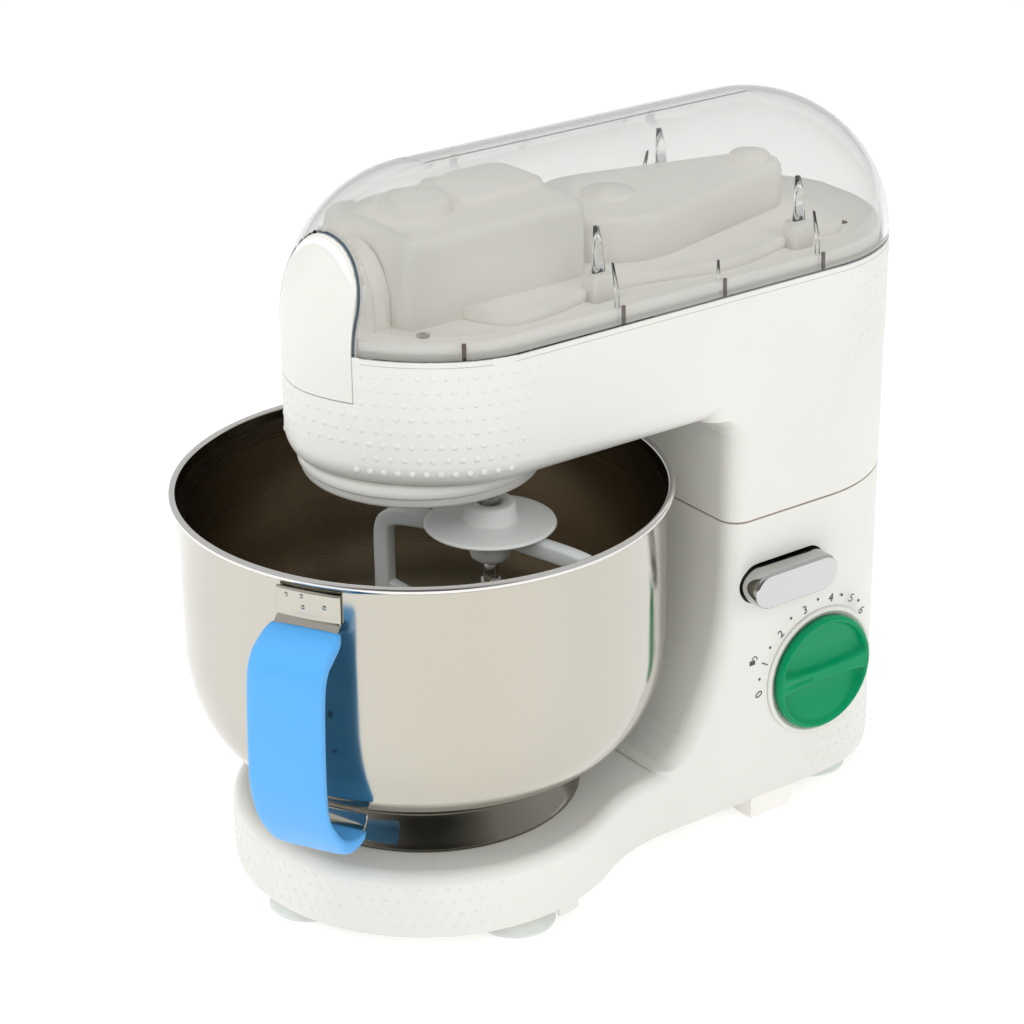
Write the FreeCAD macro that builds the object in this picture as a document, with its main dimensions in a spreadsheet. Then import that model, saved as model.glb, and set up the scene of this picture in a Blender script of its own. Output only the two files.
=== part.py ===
import FreeCAD, Part
import math
import os

import Sketcher
from FreeCAD import Placement, Rotation, Vector

# Stand mixer with a tilting head, a steel bowl and one flat beater.
# While modelling, the bowl axis is x = y = 0, the table is z = 0, the nose of the
# head points to -Y and the speed dial is on the +X side. Every finished part is
# then moved by bowl_axis_y so that the whole machine stands centred on the origin.

os.makedirs("parts", exist_ok=True)
doc = FreeCAD.newDocument("stand_mixer")

SIZES = {
    "bowl_axis_y": -62.5,
    # outline shared by head and column
    "body_half": 68.5,
    "nose_centre": 5.6,
    "nose_power": 1.72,
    "rear_centre": 186.2,
    "shell_wall": 3,
    "inside_gap": 0.4,
    "column_front": 125.15,
    "column_corner": 10,
    # head
    "head_seam": 162.6,
    "underside": 216,
    "underside_blend": 14.5,
    "head_edge": 11,
    "trim": 275.8,
    "cover_rise": 66.9,
    "cover_wall": 2.6,
    "floor_low": 163.4,
    "floor_high": 166.4,
    "floor_back": 190,
    # lower housing
    "disc_radius": 92,
    "disc_top": 43.8,
    "skirt_low": 12.5,
    "waist_y": 88,
    "lower_seam": 161.6,
    "lower_edge": 6,
    "plate_low": 12,
    "plate_high": 15.5,
    # feet
    "cup_radius": 18.6,
    "cup_height": 11.9,
    "side_foot": 68.5,
    "rear_foot_x": 38,
    "rear_foot_y": 205,
    "lug_front": 143.6,
    "lug_back": 168.7,
    "lug_outer": 66.5,
    "lug_inner": 46,
    # bowl
    "rim_radius": 112,
    "rim_tube": 1.7,
    "rim_height": 194.5,
    "bowl_radius": 110.5,
    "bowl_wall": 1,
    "bowl_bottom": 69,
    "bowl_straight": 128,
    "bowl_flat": 68,
    "bowl_power": 2.3,
    "ring_low": 44,
    "ring_high": 68.8,
    "ring_foot_radius": 71.2,
    "ring_neck_radius": 61,
    # handle, in the radial plane 30 degrees from the nose towards the dial
    "handle_angle": -60,
    "grip_width": 35,
    "strap_width": 30,
    "strap_wall": 1.6,
    # hinge of the head
    "pivot_y": 226,
    "pivot_z": 194.5,
    "pin_radius": 4,
    "ear_inner": 30,
    "ear_outer": 36,
    "ear_boss": 9,
    "cheek_inner": 22,
    "cheek_outer": 28,
    "deck_low": 157,
    "deck_high": 160,
    # release button
    "button_y": 157,
    "button_z": 129,
    "button_long": 51,
    "button_tall": 18.6,
    "button_face": 79.8,
    "button_back": 56,
    "latch_low": 148,
    "latch_high": 151,
    # speed dial
    "dial_y": 182.5,
    "dial_z": 70.5,
    "dial_radius": 29.8,
    "dial_low": 69.4,
    "dial_high": 73.8,
    "bezel_radius": 33,
    "bezel_high": 70,
    # planetary drive
    "gear_module": 1.625,
    "ring_teeth": 64,
    "pinion_teeth": 24,
    "main_teeth": 60,
    "first_teeth": 16,
    "second_teeth": 40,
    "third_teeth": 12,
    "tooth_play": 0.5,
    "beater_angle": 33.6,
    "hub_radius": 55.5,
    "hub_low": 204.5,
    "hub_high": 215.3,
    "hub_neck": 48,
    "underside_hole": 49.5,
    "planet_low": 222.4,
    "planet_high": 229.6,
    "gear_plate_low": 230,
    "gear_plate_high": 234,
    "lower_mesh": 238,
    "upper_mesh": 250,
    "gear_width": 8,
    "motor_plate_low": 262,
    "motor_plate_high": 266,
    "tray_low": 272.5,
    "tray_high": 275,
    # motor and belt
    "motor_y": 188,
    "motor_radius": 28,
    "rotor_radius": 16.5,
    "stator_low": 190,
    "stator_high": 250,
    "large_pulley": 30,
    "small_pulley": 9,
    "pulley_low": 286,
    "pulley_high": 300,
    "belt_wall": 1.4,
    # tower, belt cover and front outlet
    "tower_half": 35,
    "tower_front": -30,
    "tower_back": 67,
    "tower_top": 322,
    "tower_boss_radius": 15,
    "tower_boss_top": 329,
    "belt_cover_top": 309,
    "belt_cover_wall": 2,
    "outlet_z": 292,
    "cap_half": 28.2,
    "cap_low": 254.9,
    "cap_gap": 0.5,
    # beater
    "shaft_radius": 4.5,
    "beater_turn": 20.9,
    "beater_reach": 63,
    "beater_top": 176,
    "beater_low": 75,
    "beater_thick": 8,
    "splash_radius": 30,
    "splash_height": 180.4,
}

sheet = doc.addObject("Spreadsheet::Sheet", "sizes")
for row, (alias, value) in enumerate(SIZES.items(), start=1):
    sheet.set(f"A{row}", alias)
    sheet.set(f"B{row}", str(value))
    sheet.setAlias(f"B{row}", alias)
doc.recompute()


class Size:
    """A number together with the spreadsheet formula that gives it."""

    def __init__(self, value, formula):
        self.value = float(value)
        self.formula = formula

    def __float__(self):
        return self.value

    def __add__(self, other):
        other = as_size(other)
        return Size(self.value + other.value, f"({self.formula} + {other.formula})")

    def __radd__(self, other):
        return as_size(other) + self

    def __sub__(self, other):
        other = as_size(other)
        return Size(self.value - other.value, f"({self.formula} - {other.formula})")

    def __rsub__(self, other):
        return as_size(other) - self

    def __mul__(self, other):
        other = as_size(other)
        return Size(self.value * other.value, f"({self.formula} * {other.formula})")

    def __rmul__(self, other):
        return as_size(other) * self

    def __truediv__(self, other):
        other = as_size(other)
        return Size(self.value / other.value, f"({self.formula} / {other.formula})")

    def __neg__(self):
        return 0 - self


def as_size(value):
    if isinstance(value, Size):
        return value
    return Size(value, f"({value})")


class Sheet:
    """Reads the spreadsheet: size.shell_wall is the cell with that alias."""

    def __getattr__(self, alias):
        return Size(sheet.get(alias), f"sizes.{alias}")


size = Sheet()
base_y = {}
nodes = {}


def bind(obj, prop, value):
    """Binds one property of obj to the spreadsheet."""
    obj.setExpression(prop, as_size(value).formula)


def put(obj, x, y, z):
    """Places obj, bound to the spreadsheet, and remembers its y for the final move."""
    bind(obj, "Placement.Base.x", x)
    bind(obj, "Placement.Base.y", y)
    bind(obj, "Placement.Base.z", z)
    base_y[obj.Name] = y


def node(name, obj):
    """Makes obj a finished part of the machine."""
    obj.Label = name
    start_y = base_y.get(obj.Name, obj.Placement.Base.y)
    bind(obj, "Placement.Base.y", start_y + size.bowl_axis_y)
    nodes[name] = obj


def box(name, x0, x1, y0, y1, z0, z1):
    obj = doc.addObject("Part::Box", name)
    bind(obj, "Length", x1 - x0)
    bind(obj, "Width", y1 - y0)
    bind(obj, "Height", z1 - z0)
    put(obj, x0, y0, z0)
    return obj


def rod(name, radius, start, end, first, second, axis="z"):
    """A cylinder along one axis; first and second are its two other coordinates."""
    obj = doc.addObject("Part::Cylinder", name)
    bind(obj, "Radius", radius)
    bind(obj, "Height", end - start)
    turn_and_put(obj, start, first, second, axis)
    return obj


def cone(name, radius_start, radius_end, start, end, first, second, axis="z"):
    obj = doc.addObject("Part::Cone", name)
    bind(obj, "Radius1", radius_start)
    bind(obj, "Radius2", radius_end)
    bind(obj, "Height", end - start)
    turn_and_put(obj, start, first, second, axis)
    return obj


def turn_and_put(obj, start, first, second, axis):
    if axis == "x":
        obj.Placement = Placement(Vector(), Rotation(Vector(0, 1, 0), 90))
        put(obj, start, first, second)
    elif axis == "y":
        obj.Placement = Placement(Vector(), Rotation(Vector(1, 0, 0), -90))
        put(obj, first, start, second)
    else:
        put(obj, first, second, start)


def fuse(name, shapes):
    obj = doc.addObject("Part::MultiFuse", name)
    obj.Shapes = shapes
    return obj


def cut(name, base, tools):
    obj = doc.addObject("Part::Cut", name)
    obj.Base = base
    obj.Tool = tools[0] if len(tools) == 1 else fuse(f"{name}_tools", tools)
    return obj


def tube(name, outer, inner, start, end, first, second, axis="z"):
    """A cylinder with a bore right through it."""
    body = rod(f"{name}_body", outer, start, end, first, second, axis)
    bore = rod(f"{name}_bore", inner, start - 1, end + 1, first, second, axis)
    return cut(name, body, [bore])


def feature(name, shape):
    """A shape built from the sheet's values where no primitive fits."""
    obj = doc.addObject("Part::Feature", name)
    obj.Shape = shape
    return obj


def lathe(name, profile):
    """A PartDesign body: a closed (radius, z) profile turned round the z axis."""
    body = doc.addObject("PartDesign::Body", name)
    sketch = body.newObject("Sketcher::SketchObject", f"{name}_profile")
    plane = [item for item in body.Origin.OriginFeatures if item.Role == "XZ_Plane"][0]
    sketch.AttachmentSupport = (plane, [""])
    sketch.MapMode = "FlatFace"
    count = len(profile)
    corners = [Vector(float(radius), float(z), 0) for radius, z in profile]
    lines = [Part.LineSegment(corners[i], corners[(i + 1) % count]) for i in range(count)]
    sketch.addGeometry(lines, False)
    rules = [Sketcher.Constraint("Coincident", i, 2, (i + 1) % count, 1) for i in range(count)]
    sketch.addConstraint(rules)
    for i, (radius, z) in enumerate(profile):
        if float(radius) == 0:
            sketch.addConstraint(Sketcher.Constraint("PointOnObject", i, 1, -2))
        else:
            rule = sketch.addConstraint(
                Sketcher.Constraint("DistanceX", -1, 1, i, 1, float(radius)))
            bind(sketch, f"Constraints[{rule}]", radius)
        rule = sketch.addConstraint(Sketcher.Constraint("DistanceY", -1, 1, i, 1, float(z)))
        bind(sketch, f"Constraints[{rule}]", z)
    turned = body.newObject("PartDesign::Revolution", f"{name}_turned")
    turned.Profile = sketch
    turned.ReferenceAxis = (sketch, ["V_Axis"])
    turned.Angle = 360
    doc.recompute()
    return body


def curve_through(points, start=None, end=None):
    curve = Part.BSplineCurve()
    if start is None:
        curve.interpolate(points)
    else:
        curve.interpolate(Points=points, InitialTangent=start, FinalTangent=end)
    return curve


def prism(points, along):
    """A flat polygon pushed along a vector."""
    return Part.Face(Part.makePolygon(points + points[:1])).extrude(along)


# ---------------------------------------------------------------- head outline

def plan_wire(half, z):
    """Outline of head and column seen from above, for one half width and height."""
    nose_y = float(size.nose_centre)
    rear_y = float(size.rear_centre)
    power = float(size.nose_power)
    steps = 12
    points = []
    for i in range(steps + 1):
        turn = math.pi * i / steps
        across = math.cos(turn)
        x = half * math.copysign(abs(across) ** (2 / power), across)
        y = nose_y - half * abs(math.sin(turn)) ** (2 / power)
        points.append(Vector(x, y, z))
    nose = curve_through(points, Vector(0, -1, 0), Vector(0, 1, 0)).toShape()
    left = Part.makeLine(Vector(-half, nose_y, z), Vector(-half, rear_y, z))
    rear = Part.Arc(Vector(-half, rear_y, z), Vector(0, rear_y + half, z),
                    Vector(half, rear_y, z)).toShape()
    right = Part.makeLine(Vector(half, rear_y, z), Vector(half, nose_y, z))
    return Part.Wire([nose, left, rear, right])


def plan_block(inset, low, high):
    """The outline as a solid between two heights, moved inwards by inset."""
    face = Part.Face(plan_wire(float(size.body_half) - inset, low))
    return face.extrude(Vector(0, 0, high - low))


def column_wire(inset, front, z):
    """Outline of the column with its two front corners rounded."""
    half = float(size.body_half) - inset
    rear_y = float(size.rear_centre)
    corner = float(size.column_corner) - inset
    bend = corner * (1 - math.sqrt(0.5))
    face = Part.makeLine(Vector(half - corner, front, z), Vector(corner - half, front, z))
    left = Part.Arc(Vector(corner - half, front, z), Vector(bend - half, front + bend, z),
                    Vector(-half, front + corner, z)).toShape()
    left_side = Part.makeLine(Vector(-half, front + corner, z), Vector(-half, rear_y, z))
    rear = Part.Arc(Vector(-half, rear_y, z), Vector(0, rear_y + half, z),
                    Vector(half, rear_y, z)).toShape()
    right_side = Part.makeLine(Vector(half, rear_y, z), Vector(half, front + corner, z))
    right = Part.Arc(Vector(half, front + corner, z), Vector(half - bend, front + bend, z),
                     Vector(half - corner, front, z)).toShape()
    return Part.Wire([face, left, left_side, rear, right_side, right])


def column_block(inset, low, high):
    """The straight part of the column between two heights."""
    front = float(size.column_front) + inset
    return Part.Face(column_wire(inset, front, low)).extrude(Vector(0, 0, high - low))


def rounded_slab(face, along, edge, at_height):
    """A flat outline with some depth and the edge at one height rounded."""
    slab = face.extrude(along)
    rim = [item for item in slab.Edges
           if abs(item.BoundBox.ZMin - at_height) < 0.01 and item.BoundBox.ZLength < 0.01]
    return slab.makeFillet(edge, rim)


def head_block(inset, low, high, edge):
    """Head and its column below the clear cover, moved inwards by inset."""
    under = float(size.underside) + inset
    blend = float(size.underside_blend)
    centre_y = float(size.column_front) - blend
    centre_z = float(size.underside) - blend
    half = float(size.body_half) - inset
    rounding = []
    for angle in (0, 18, 36, 54, 72, 90):
        turn = math.radians(angle)
        rounding.append(plan_wire(half - edge * (1 - math.sin(turn)),
                                  under + edge * (1 - math.cos(turn))))
    slab = Part.makeLoft(rounding, True)
    body = Part.Face(rounding[-1]).extrude(Vector(0, 0, high - under - edge))
    sections = []
    for angle in (0, 20, 40, 60, 78, 90):
        turn = math.radians(angle)
        front = centre_y + (blend + inset) * math.cos(turn)
        sections.append(column_wire(inset, front, centre_z + (blend + inset) * math.sin(turn)))
    sweep = Part.makeLoft(sections, True, True)
    above = Part.Face(sections[-1]).extrude(Vector(0, 0, edge))
    return slab.fuse([body, sweep, above, column_block(inset, low, centre_z)])


def cover_dome(inset):
    """The space under the clear cover: outlines shrinking along an elliptic rise."""
    trim = float(size.trim)
    half = float(size.body_half) - inset
    rise = float(size.cover_rise) - inset
    sections = []
    for angle in (0, 12, 25, 38, 50, 61, 71, 80, 87):
        turn = math.radians(angle)
        sections.append(plan_wire(half * math.cos(turn), trim + rise * math.sin(turn)))
    return Part.makeLoft(sections, True)


# --------------------------------------------------------- lower housing outline

def foot_wire(inset, z):
    """Outline of disc, waist and column base, moved inwards by inset."""
    half = float(size.body_half)
    disc = float(size.disc_radius)
    waist_y = float(size.waist_y)
    rear_y = float(size.rear_centre)
    waist = (half ** 2 + waist_y ** 2 - disc ** 2) / (2 * (disc - half))
    centre_x = half + waist
    reach = math.hypot(centre_x, waist_y)
    touch_x = (disc - inset) * centre_x / reach
    touch_y = (disc - inset) * waist_y / reach
    inner = half - inset
    radius = waist + inset
    turn = math.atan2(waist_y, centre_x) / 2
    arc_x = centre_x - radius * math.cos(turn)
    arc_y = waist_y - radius * math.sin(turn)
    front = Part.Arc(Vector(touch_x, touch_y, z), Vector(0, inset - disc, z),
                     Vector(-touch_x, touch_y, z)).toShape()
    left = Part.Arc(Vector(-touch_x, touch_y, z), Vector(-arc_x, arc_y, z),
                    Vector(-inner, waist_y, z)).toShape()
    left_side = Part.makeLine(Vector(-inner, waist_y, z), Vector(-inner, rear_y, z))
    rear = Part.Arc(Vector(-inner, rear_y, z), Vector(0, rear_y + inner, z),
                    Vector(inner, rear_y, z)).toShape()
    right_side = Part.makeLine(Vector(inner, rear_y, z), Vector(inner, waist_y, z))
    right = Part.Arc(Vector(inner, waist_y, z), Vector(arc_x, arc_y, z),
                     Vector(touch_x, touch_y, z)).toShape()
    return Part.Wire([front, left, left_side, rear, right_side, right])


def lower_block(inset, low, high, edge):
    """Disc and column as one solid, with the concave sweep between them."""
    top = float(size.disc_top) - inset
    face = Part.Face(foot_wire(inset, low))
    slab = rounded_slab(face, Vector(0, 0, top - low), edge, top)
    heights = [(84, top - edge), (84.4, top + 1), (89.6, top + 2.8), (96, 52), (101.5, 58),
               (107.6, 68.5), (113.6, 80.5), (118.9, 95), (123, 112), (124.7, 128),
               (float(size.column_front), 143)]
    sections = [column_wire(inset, y + inset, z) for y, z in heights]
    sweep = Part.makeLoft(sections, True, True)
    return slab.fuse([sweep, column_block(inset, 143, high)]).removeSplitter()


def arch_block(half, low, front, back):
    """The rounded arch of the front outlet cap, as a block along y."""
    spring = float(size.outlet_z)
    arc = Part.Arc(Vector(half, front, spring), Vector(0, front, spring + half),
                   Vector(-half, front, spring)).toShape()
    corners = [Vector(-half, front, spring), Vector(-half, front, low),
               Vector(half, front, low), Vector(half, front, spring)]
    outline = Part.Wire([arc] + Part.makePolygon(corners).Edges)
    return Part.Face(outline).extrude(Vector(0, back - front, 0))


def x_rod(radius, x0, x1, y, z):
    return Part.makeCylinder(radius, x1 - x0, Vector(x0, y, z), Vector(1, 0, 0))


def z_rod(radius, low, high, x, y):
    return Part.makeCylinder(radius, high - low, Vector(x, y, low))


def block(x0, x1, y0, y1, z0, z1):
    return Part.makeBox(x1 - x0, y1 - y0, z1 - z0, Vector(x0, y0, z0))


def stadium(length, height, x0, x1, y, z):
    """A slot-shaped block along x, long way round in y."""
    radius = height / 2
    side = length / 2 - radius
    return block(x0, x1, y - side, y + side, z - radius, z + radius).fuse(
        [x_rod(radius, x0, x1, y - side, z), x_rod(radius, x0, x1, y + side, z)])


# --------------------------------------------------------------- lower housing

wall = float(size.shell_wall)
skirt = float(size.skirt_low)
lower_seam = float(size.lower_seam)
button_y = float(size.button_y)
button_z = float(size.button_z)
dial_y = float(size.dial_y)
dial_z = float(size.dial_z)
pivot_y = float(size.pivot_y)
pivot_z = float(size.pivot_z)
boss_spots = [(-60.5, 104), (60.5, 104), (-60.5, 192), (43, 230), (-30, -60), (30, -60)]
inlet_spot = Vector(-44, 236, 30)
inlet_way = Vector(-44, 50, 0).normalize()


def hinge_relief():
    """Room for the rear edge of the head as it swings round the hinge."""
    half = float(size.body_half)
    rear_y = float(size.rear_centre)
    drop = pivot_z - float(size.head_seam)
    widest = math.sqrt(half ** 2 - (pivot_y - rear_y) ** 2)
    points = []
    for i in range(-6, 7):
        x = widest * i / 6
        reach = math.hypot(rear_y + math.sqrt(half ** 2 - x ** 2) - pivot_y, drop) + 0.6
        points.append(Vector(x, pivot_y, pivot_z - reach))
    curve = curve_through(points).toShape()
    ends = Part.makePolygon([points[-1], Vector(widest, pivot_y, pivot_z),
                             Vector(-widest, pivot_y, pivot_z), points[0]])
    face = Part.Face(Part.Wire([curve] + ends.Edges))
    return face.revolve(Vector(0, pivot_y, pivot_z), Vector(1, 0, 0), 100)


def lower_housing_shape():
    outer = lower_block(0, skirt, lower_seam, float(size.lower_edge))
    inner = lower_block(wall, skirt - 1, lower_seam + 1, float(size.lower_edge) - wall)
    shell = outer.cut(inner)
    plate_high = float(size.plate_high)
    under_disc = float(size.disc_top) - wall
    bosses = []
    for x, y in boss_spots:
        high = under_disc + 1 if y < 0 else 60
        bosses.append(z_rod(6, plate_high + 0.1, high, x, y).common(outer))
    rim = z_rod(float(size.disc_radius) - 0.1, 8.5, skirt + 1.5, 0, 0)
    rim = rim.cut(z_rod(float(size.disc_radius) - 2, 8, skirt + 2, 0, 0))
    stops = [rim.common(block(sign * 85 - 10, sign * 85 + 10, 8, 20, 8, 15)) for sign in (1, -1)]
    shell = shell.fuse(bosses + stops)
    bores = [z_rod(1.9, plate_high - 1, 34, x, y) for x, y in boss_spots]
    button_hole = stadium(52, 20.2, 60, 80, button_y, button_z)
    dial_hole = x_rod(8, 60, 80, dial_y, dial_z)
    inlet_hole = Part.makeCylinder(5, 30, inlet_spot - inlet_way * 15, inlet_way)
    seat_bores = [z_rod(1.9, 38, 46, 42 * math.cos(a), 42 * math.sin(a))
                  for a in (math.radians(t) for t in (60, 180, 300))]
    return shell.cut([hinge_relief(), button_hole, dial_hole, inlet_hole] + bores + seat_bores)


node("lower_housing", feature("lower_housing", lower_housing_shape()))


def bottom_cover_shape():
    low = float(size.plate_low)
    plate = Part.Face(foot_wire(wall + 0.5, low)).extrude(
        Vector(0, 0, float(size.plate_high) - low))
    lug_in = float(size.lug_inner)
    lug_out = float(size.lug_outer)
    front = float(size.lug_front)
    back = float(size.lug_back)
    lugs = [block(lug_in, lug_out, front, back, 0, low + 0.1),
            block(-lug_out, -lug_in, front, back, 0, low + 0.1)]
    plate = plate.fuse(lugs)
    holes = [z_rod(2.2, low - 1, low + 5, x, y) for x, y in boss_spots]
    holes += [z_rod(2, low - 1, low + 5, x, y) for x, y in foot_spots()]
    slots = [block(-20, 20, y - 1.5, y + 1.5, low - 1, low + 5) for y in (20, 28, 36, 44)]
    return plate.cut(holes + slots)


def foot_spots():
    side = float(size.side_foot)
    rear_x = float(size.rear_foot_x)
    rear_y = float(size.rear_foot_y)
    return [(side, 0), (0, -side), (-side, 0), (rear_x, rear_y), (-rear_x, rear_y)]


node("bottom_cover", feature("bottom_cover", bottom_cover_shape()))


def fused(shapes):
    return shapes[0].fuse(shapes[1:])


def suction_foot(x, y):
    """A soft cup: wide lip on the table, neck up to the bottom cover, screw bore."""
    radius = float(size.cup_radius)
    high = float(size.cup_height)
    outline = [(0, 2.4), (radius - 4, 0.6), (radius, 0), (radius, 1.2), (radius - 3, 3.4),
               (11, 6.2), (9.6, 8), (9.6, high), (0, high)]
    face = Part.Face(Part.makePolygon([Vector(r, 0, z) for r, z in outline + outline[:1]]))
    cup = face.revolve(Vector(), Vector(0, 0, 1), 360)
    cup = cup.cut([z_rod(2, -1, high + 1, 0, 0), z_rod(4.4, -1, 6, 0, 0)])
    cup.translate(Vector(x, y, 0))
    return cup


node("suction_feet", feature("suction_feet",
                             Part.makeCompound([suction_foot(x, y) for x, y in foot_spots()])))
plate_top = size.plate_high
node("foot_screws", fuse("foot_screws", [
    part for i, (x, y) in enumerate(foot_spots()) for part in (
        rod(f"foot_screw_head_{i}", 3.6, as_size(3.4), as_size(6), x, y),
        rod(f"foot_screw_shank_{i}", 1.95, as_size(5.5), plate_top + 0.6, x, y))]))
node("housing_screws", fuse("housing_screws", [
    part for i, (x, y) in enumerate(boss_spots) for part in (
        rod(f"housing_screw_head_{i}", 3.4, size.plate_low - 2, size.plate_low, x, y),
        rod(f"housing_screw_shank_{i}", 1.85, size.plate_low - 1, as_size(30), x, y))]))

# ------------------------------------------------------------ bowl seat and bowl

seat_low = size.disc_top + 0.05


def seat_lugs():
    lugs = []
    for turn in (30, 150, 270):
        ring = z_rod(65, 47.2, 49, 0, 0).cut(z_rod(50, 47, 50, 0, 0))
        wedge = Part.makeCylinder(70, 3, Vector(0, 0, 46.8), Vector(0, 0, 1), 22)
        wedge.rotate(Vector(), Vector(0, 0, 1), turn - 11)
        lugs.append(ring.common(wedge))
    return lugs


seat_disc = feature("seat_disc", fused([z_rod(57.5, float(seat_low), 49, 0, 0)] + seat_lugs()))
seat_holes = [rod(f"seat_hole_{i}", 2.1, seat_low - 1, as_size(52),
                  42 * math.cos(math.radians(turn)), 42 * math.sin(math.radians(turn)))
              for i, turn in enumerate((60, 180, 300))]
seat_dish = cone("seat_dish", 30, 34, as_size(46.5), as_size(49.5), 0, 0)
node("bowl_seat", cut("bowl_seat", seat_disc, seat_holes + [seat_dish]))
node("seat_screws", fuse("seat_screws", [
    part for i, turn in enumerate((60, 180, 300)) for part in (
        rod(f"seat_screw_head_{i}", 4, as_size(49.05), as_size(51),
            42 * math.cos(math.radians(turn)), 42 * math.sin(math.radians(turn))),
        rod(f"seat_screw_shank_{i}", 1.85, as_size(38.5), as_size(49.5),
            42 * math.cos(math.radians(turn)), 42 * math.sin(math.radians(turn))))]))


def bowl_profile(inset):
    """Outer wall of the bowl from its flat bottom to just under the rim."""
    wall_radius = float(size.bowl_radius)
    flat = float(size.bowl_flat)
    low = float(size.bowl_bottom)
    straight = float(size.bowl_straight)
    power = float(size.bowl_power)
    points = []
    for i in range(9):
        turn = math.radians(90 * i / 8)
        out = math.sin(turn) ** (2 / power)
        down = math.cos(turn) ** (2 / power)
        points.append((flat + (wall_radius - flat) * out, straight - (straight - low) * down))
    shifted = []
    for i, (radius, z) in enumerate(points):
        before = points[max(i - 1, 0)]
        after = points[min(i + 1, 8)]
        slope = Vector(after[0] - before[0], 0, after[1] - before[1]).normalize()
        if i == 0:
            slope = Vector(1, 0, 0)
        if i == 8:
            slope = Vector(0, 0, 1)
        shifted.append(Vector(radius - slope.z * inset, 0, z + slope.x * inset))
    return curve_through(shifted, Vector(1, 0, 0), Vector(0, 0, 1))


def bowl_shape():
    thick = float(size.bowl_wall)
    outer = bowl_profile(0)
    inner = bowl_profile(thick)
    rim = float(size.rim_height)
    outer_top = Vector(float(size.bowl_radius), 0, rim)
    inner_top = Vector(float(size.bowl_radius) - thick, 0, rim)
    axis_low = Vector(0, 0, float(size.bowl_bottom))
    axis_high = Vector(0, 0, float(size.bowl_bottom) + thick)
    loop = [Part.makeLine(axis_low, outer.StartPoint), outer.toShape(),
            Part.makeLine(outer.EndPoint, outer_top), Part.makeLine(outer_top, inner_top),
            Part.makeLine(inner_top, inner.EndPoint), inner.toShape(),
            Part.makeLine(inner.StartPoint, axis_high), Part.makeLine(axis_high, axis_low)]
    wall_solid = Part.Face(Part.Wire(Part.sortEdges(loop)[0])).revolve(
        Vector(), Vector(0, 0, 1), 360)
    roll = Part.makeTorus(float(size.rim_radius), float(size.rim_tube), Vector(0, 0, rim))
    return wall_solid.fuse(roll)


node("bowl", feature("bowl", bowl_shape()))

ring_tabs = []
for ring_turn in (30, 150, 270):
    tab = z_rod(69.2, 45, 46.4, 0, 0).cut(z_rod(59.5, 44, 47, 0, 0))
    tab_wedge = Part.makeCylinder(75, 3, Vector(0, 0, 44.5), Vector(0, 0, 1), 20)
    tab_wedge.rotate(Vector(), Vector(0, 0, 1), ring_turn - 10)
    ring_tabs.append(tab.common(tab_wedge))
ring_wall = lathe("ring_wall", [
    (size.ring_foot_radius - 1.2, size.ring_low), (size.ring_foot_radius, size.ring_low),
    (size.ring_foot_radius - 2.6, size.ring_low + 6), (size.ring_neck_radius + 2.4,
                                                       size.ring_high - 8),
    (size.ring_neck_radius + 2, size.ring_high), (size.ring_neck_radius + 0.8, size.ring_high),
    (size.ring_neck_radius + 1.2, size.ring_high - 8), (size.ring_foot_radius - 4,
                                                        size.ring_low + 6)])
node("bowl_foot_ring", fuse("bowl_foot_ring", [ring_wall, feature("ring_tabs",
                                                                  fused(ring_tabs))]))

GRIP_OUTER = [(114.2, 175.6), (119.5, 174.2), (126.5, 172.2), (133, 168.4), (137, 159.6),
              (139, 137), (139.6, 118), (138.8, 105), (132, 87), (122.5, 73.5), (115, 67.2),
              (106, 65.8), (97, 67.6)]
GRIP_INNER = [(97, 70.6), (108, 72.8), (117.5, 77.5), (126, 86.6), (131, 95), (131.8, 106),
              (132, 118), (131.4, 137), (130.2, 152), (127.5, 160.4), (122.5, 164),
              (118, 166.6), (114, 169.6)]
STRAP_LINE = [(111.9, 189), (111.9, 180), (113.2, 174.4), (117.5, 170.4), (124, 168),
              (130.6, 163.8), (133.9, 152), (135.3, 137), (135.9, 118), (135.1, 105),
              (129.2, 91), (120, 75.6), (112, 69.9), (100, 68.9), (94.4, 71.4), (92.6, 75.6)]


def in_handle_plane(points):
    return [Vector(radius, 0, z) for radius, z in points]


def handle_slab(face, width):
    """Gives a flat outline its width and turns it to where the handle sits."""
    solid = face.extrude(Vector(0, width, 0))
    solid.translate(Vector(0, -width / 2, 0))
    return solid


def strap_face():
    line = curve_through(in_handle_plane(STRAP_LINE))
    half = float(size.strap_wall) / 2
    sides = []
    for sign in (1, -1):
        row = []
        for i in range(41):
            at = line.FirstParameter + (line.LastParameter - line.FirstParameter) * i / 40
            way = line.tangent(at)[0]
            row.append(line.value(at) + Vector(-way.z, 0, way.x) * half * sign)
        sides.append(row)
    first = curve_through(sides[0]).toShape()
    second = curve_through(sides[1][::-1]).toShape()
    ends = [Part.makeLine(sides[0][-1], sides[1][-1]), Part.makeLine(sides[1][0], sides[0][0])]
    return Part.Face(Part.Wire([first, ends[0], second, ends[1]]))


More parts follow.
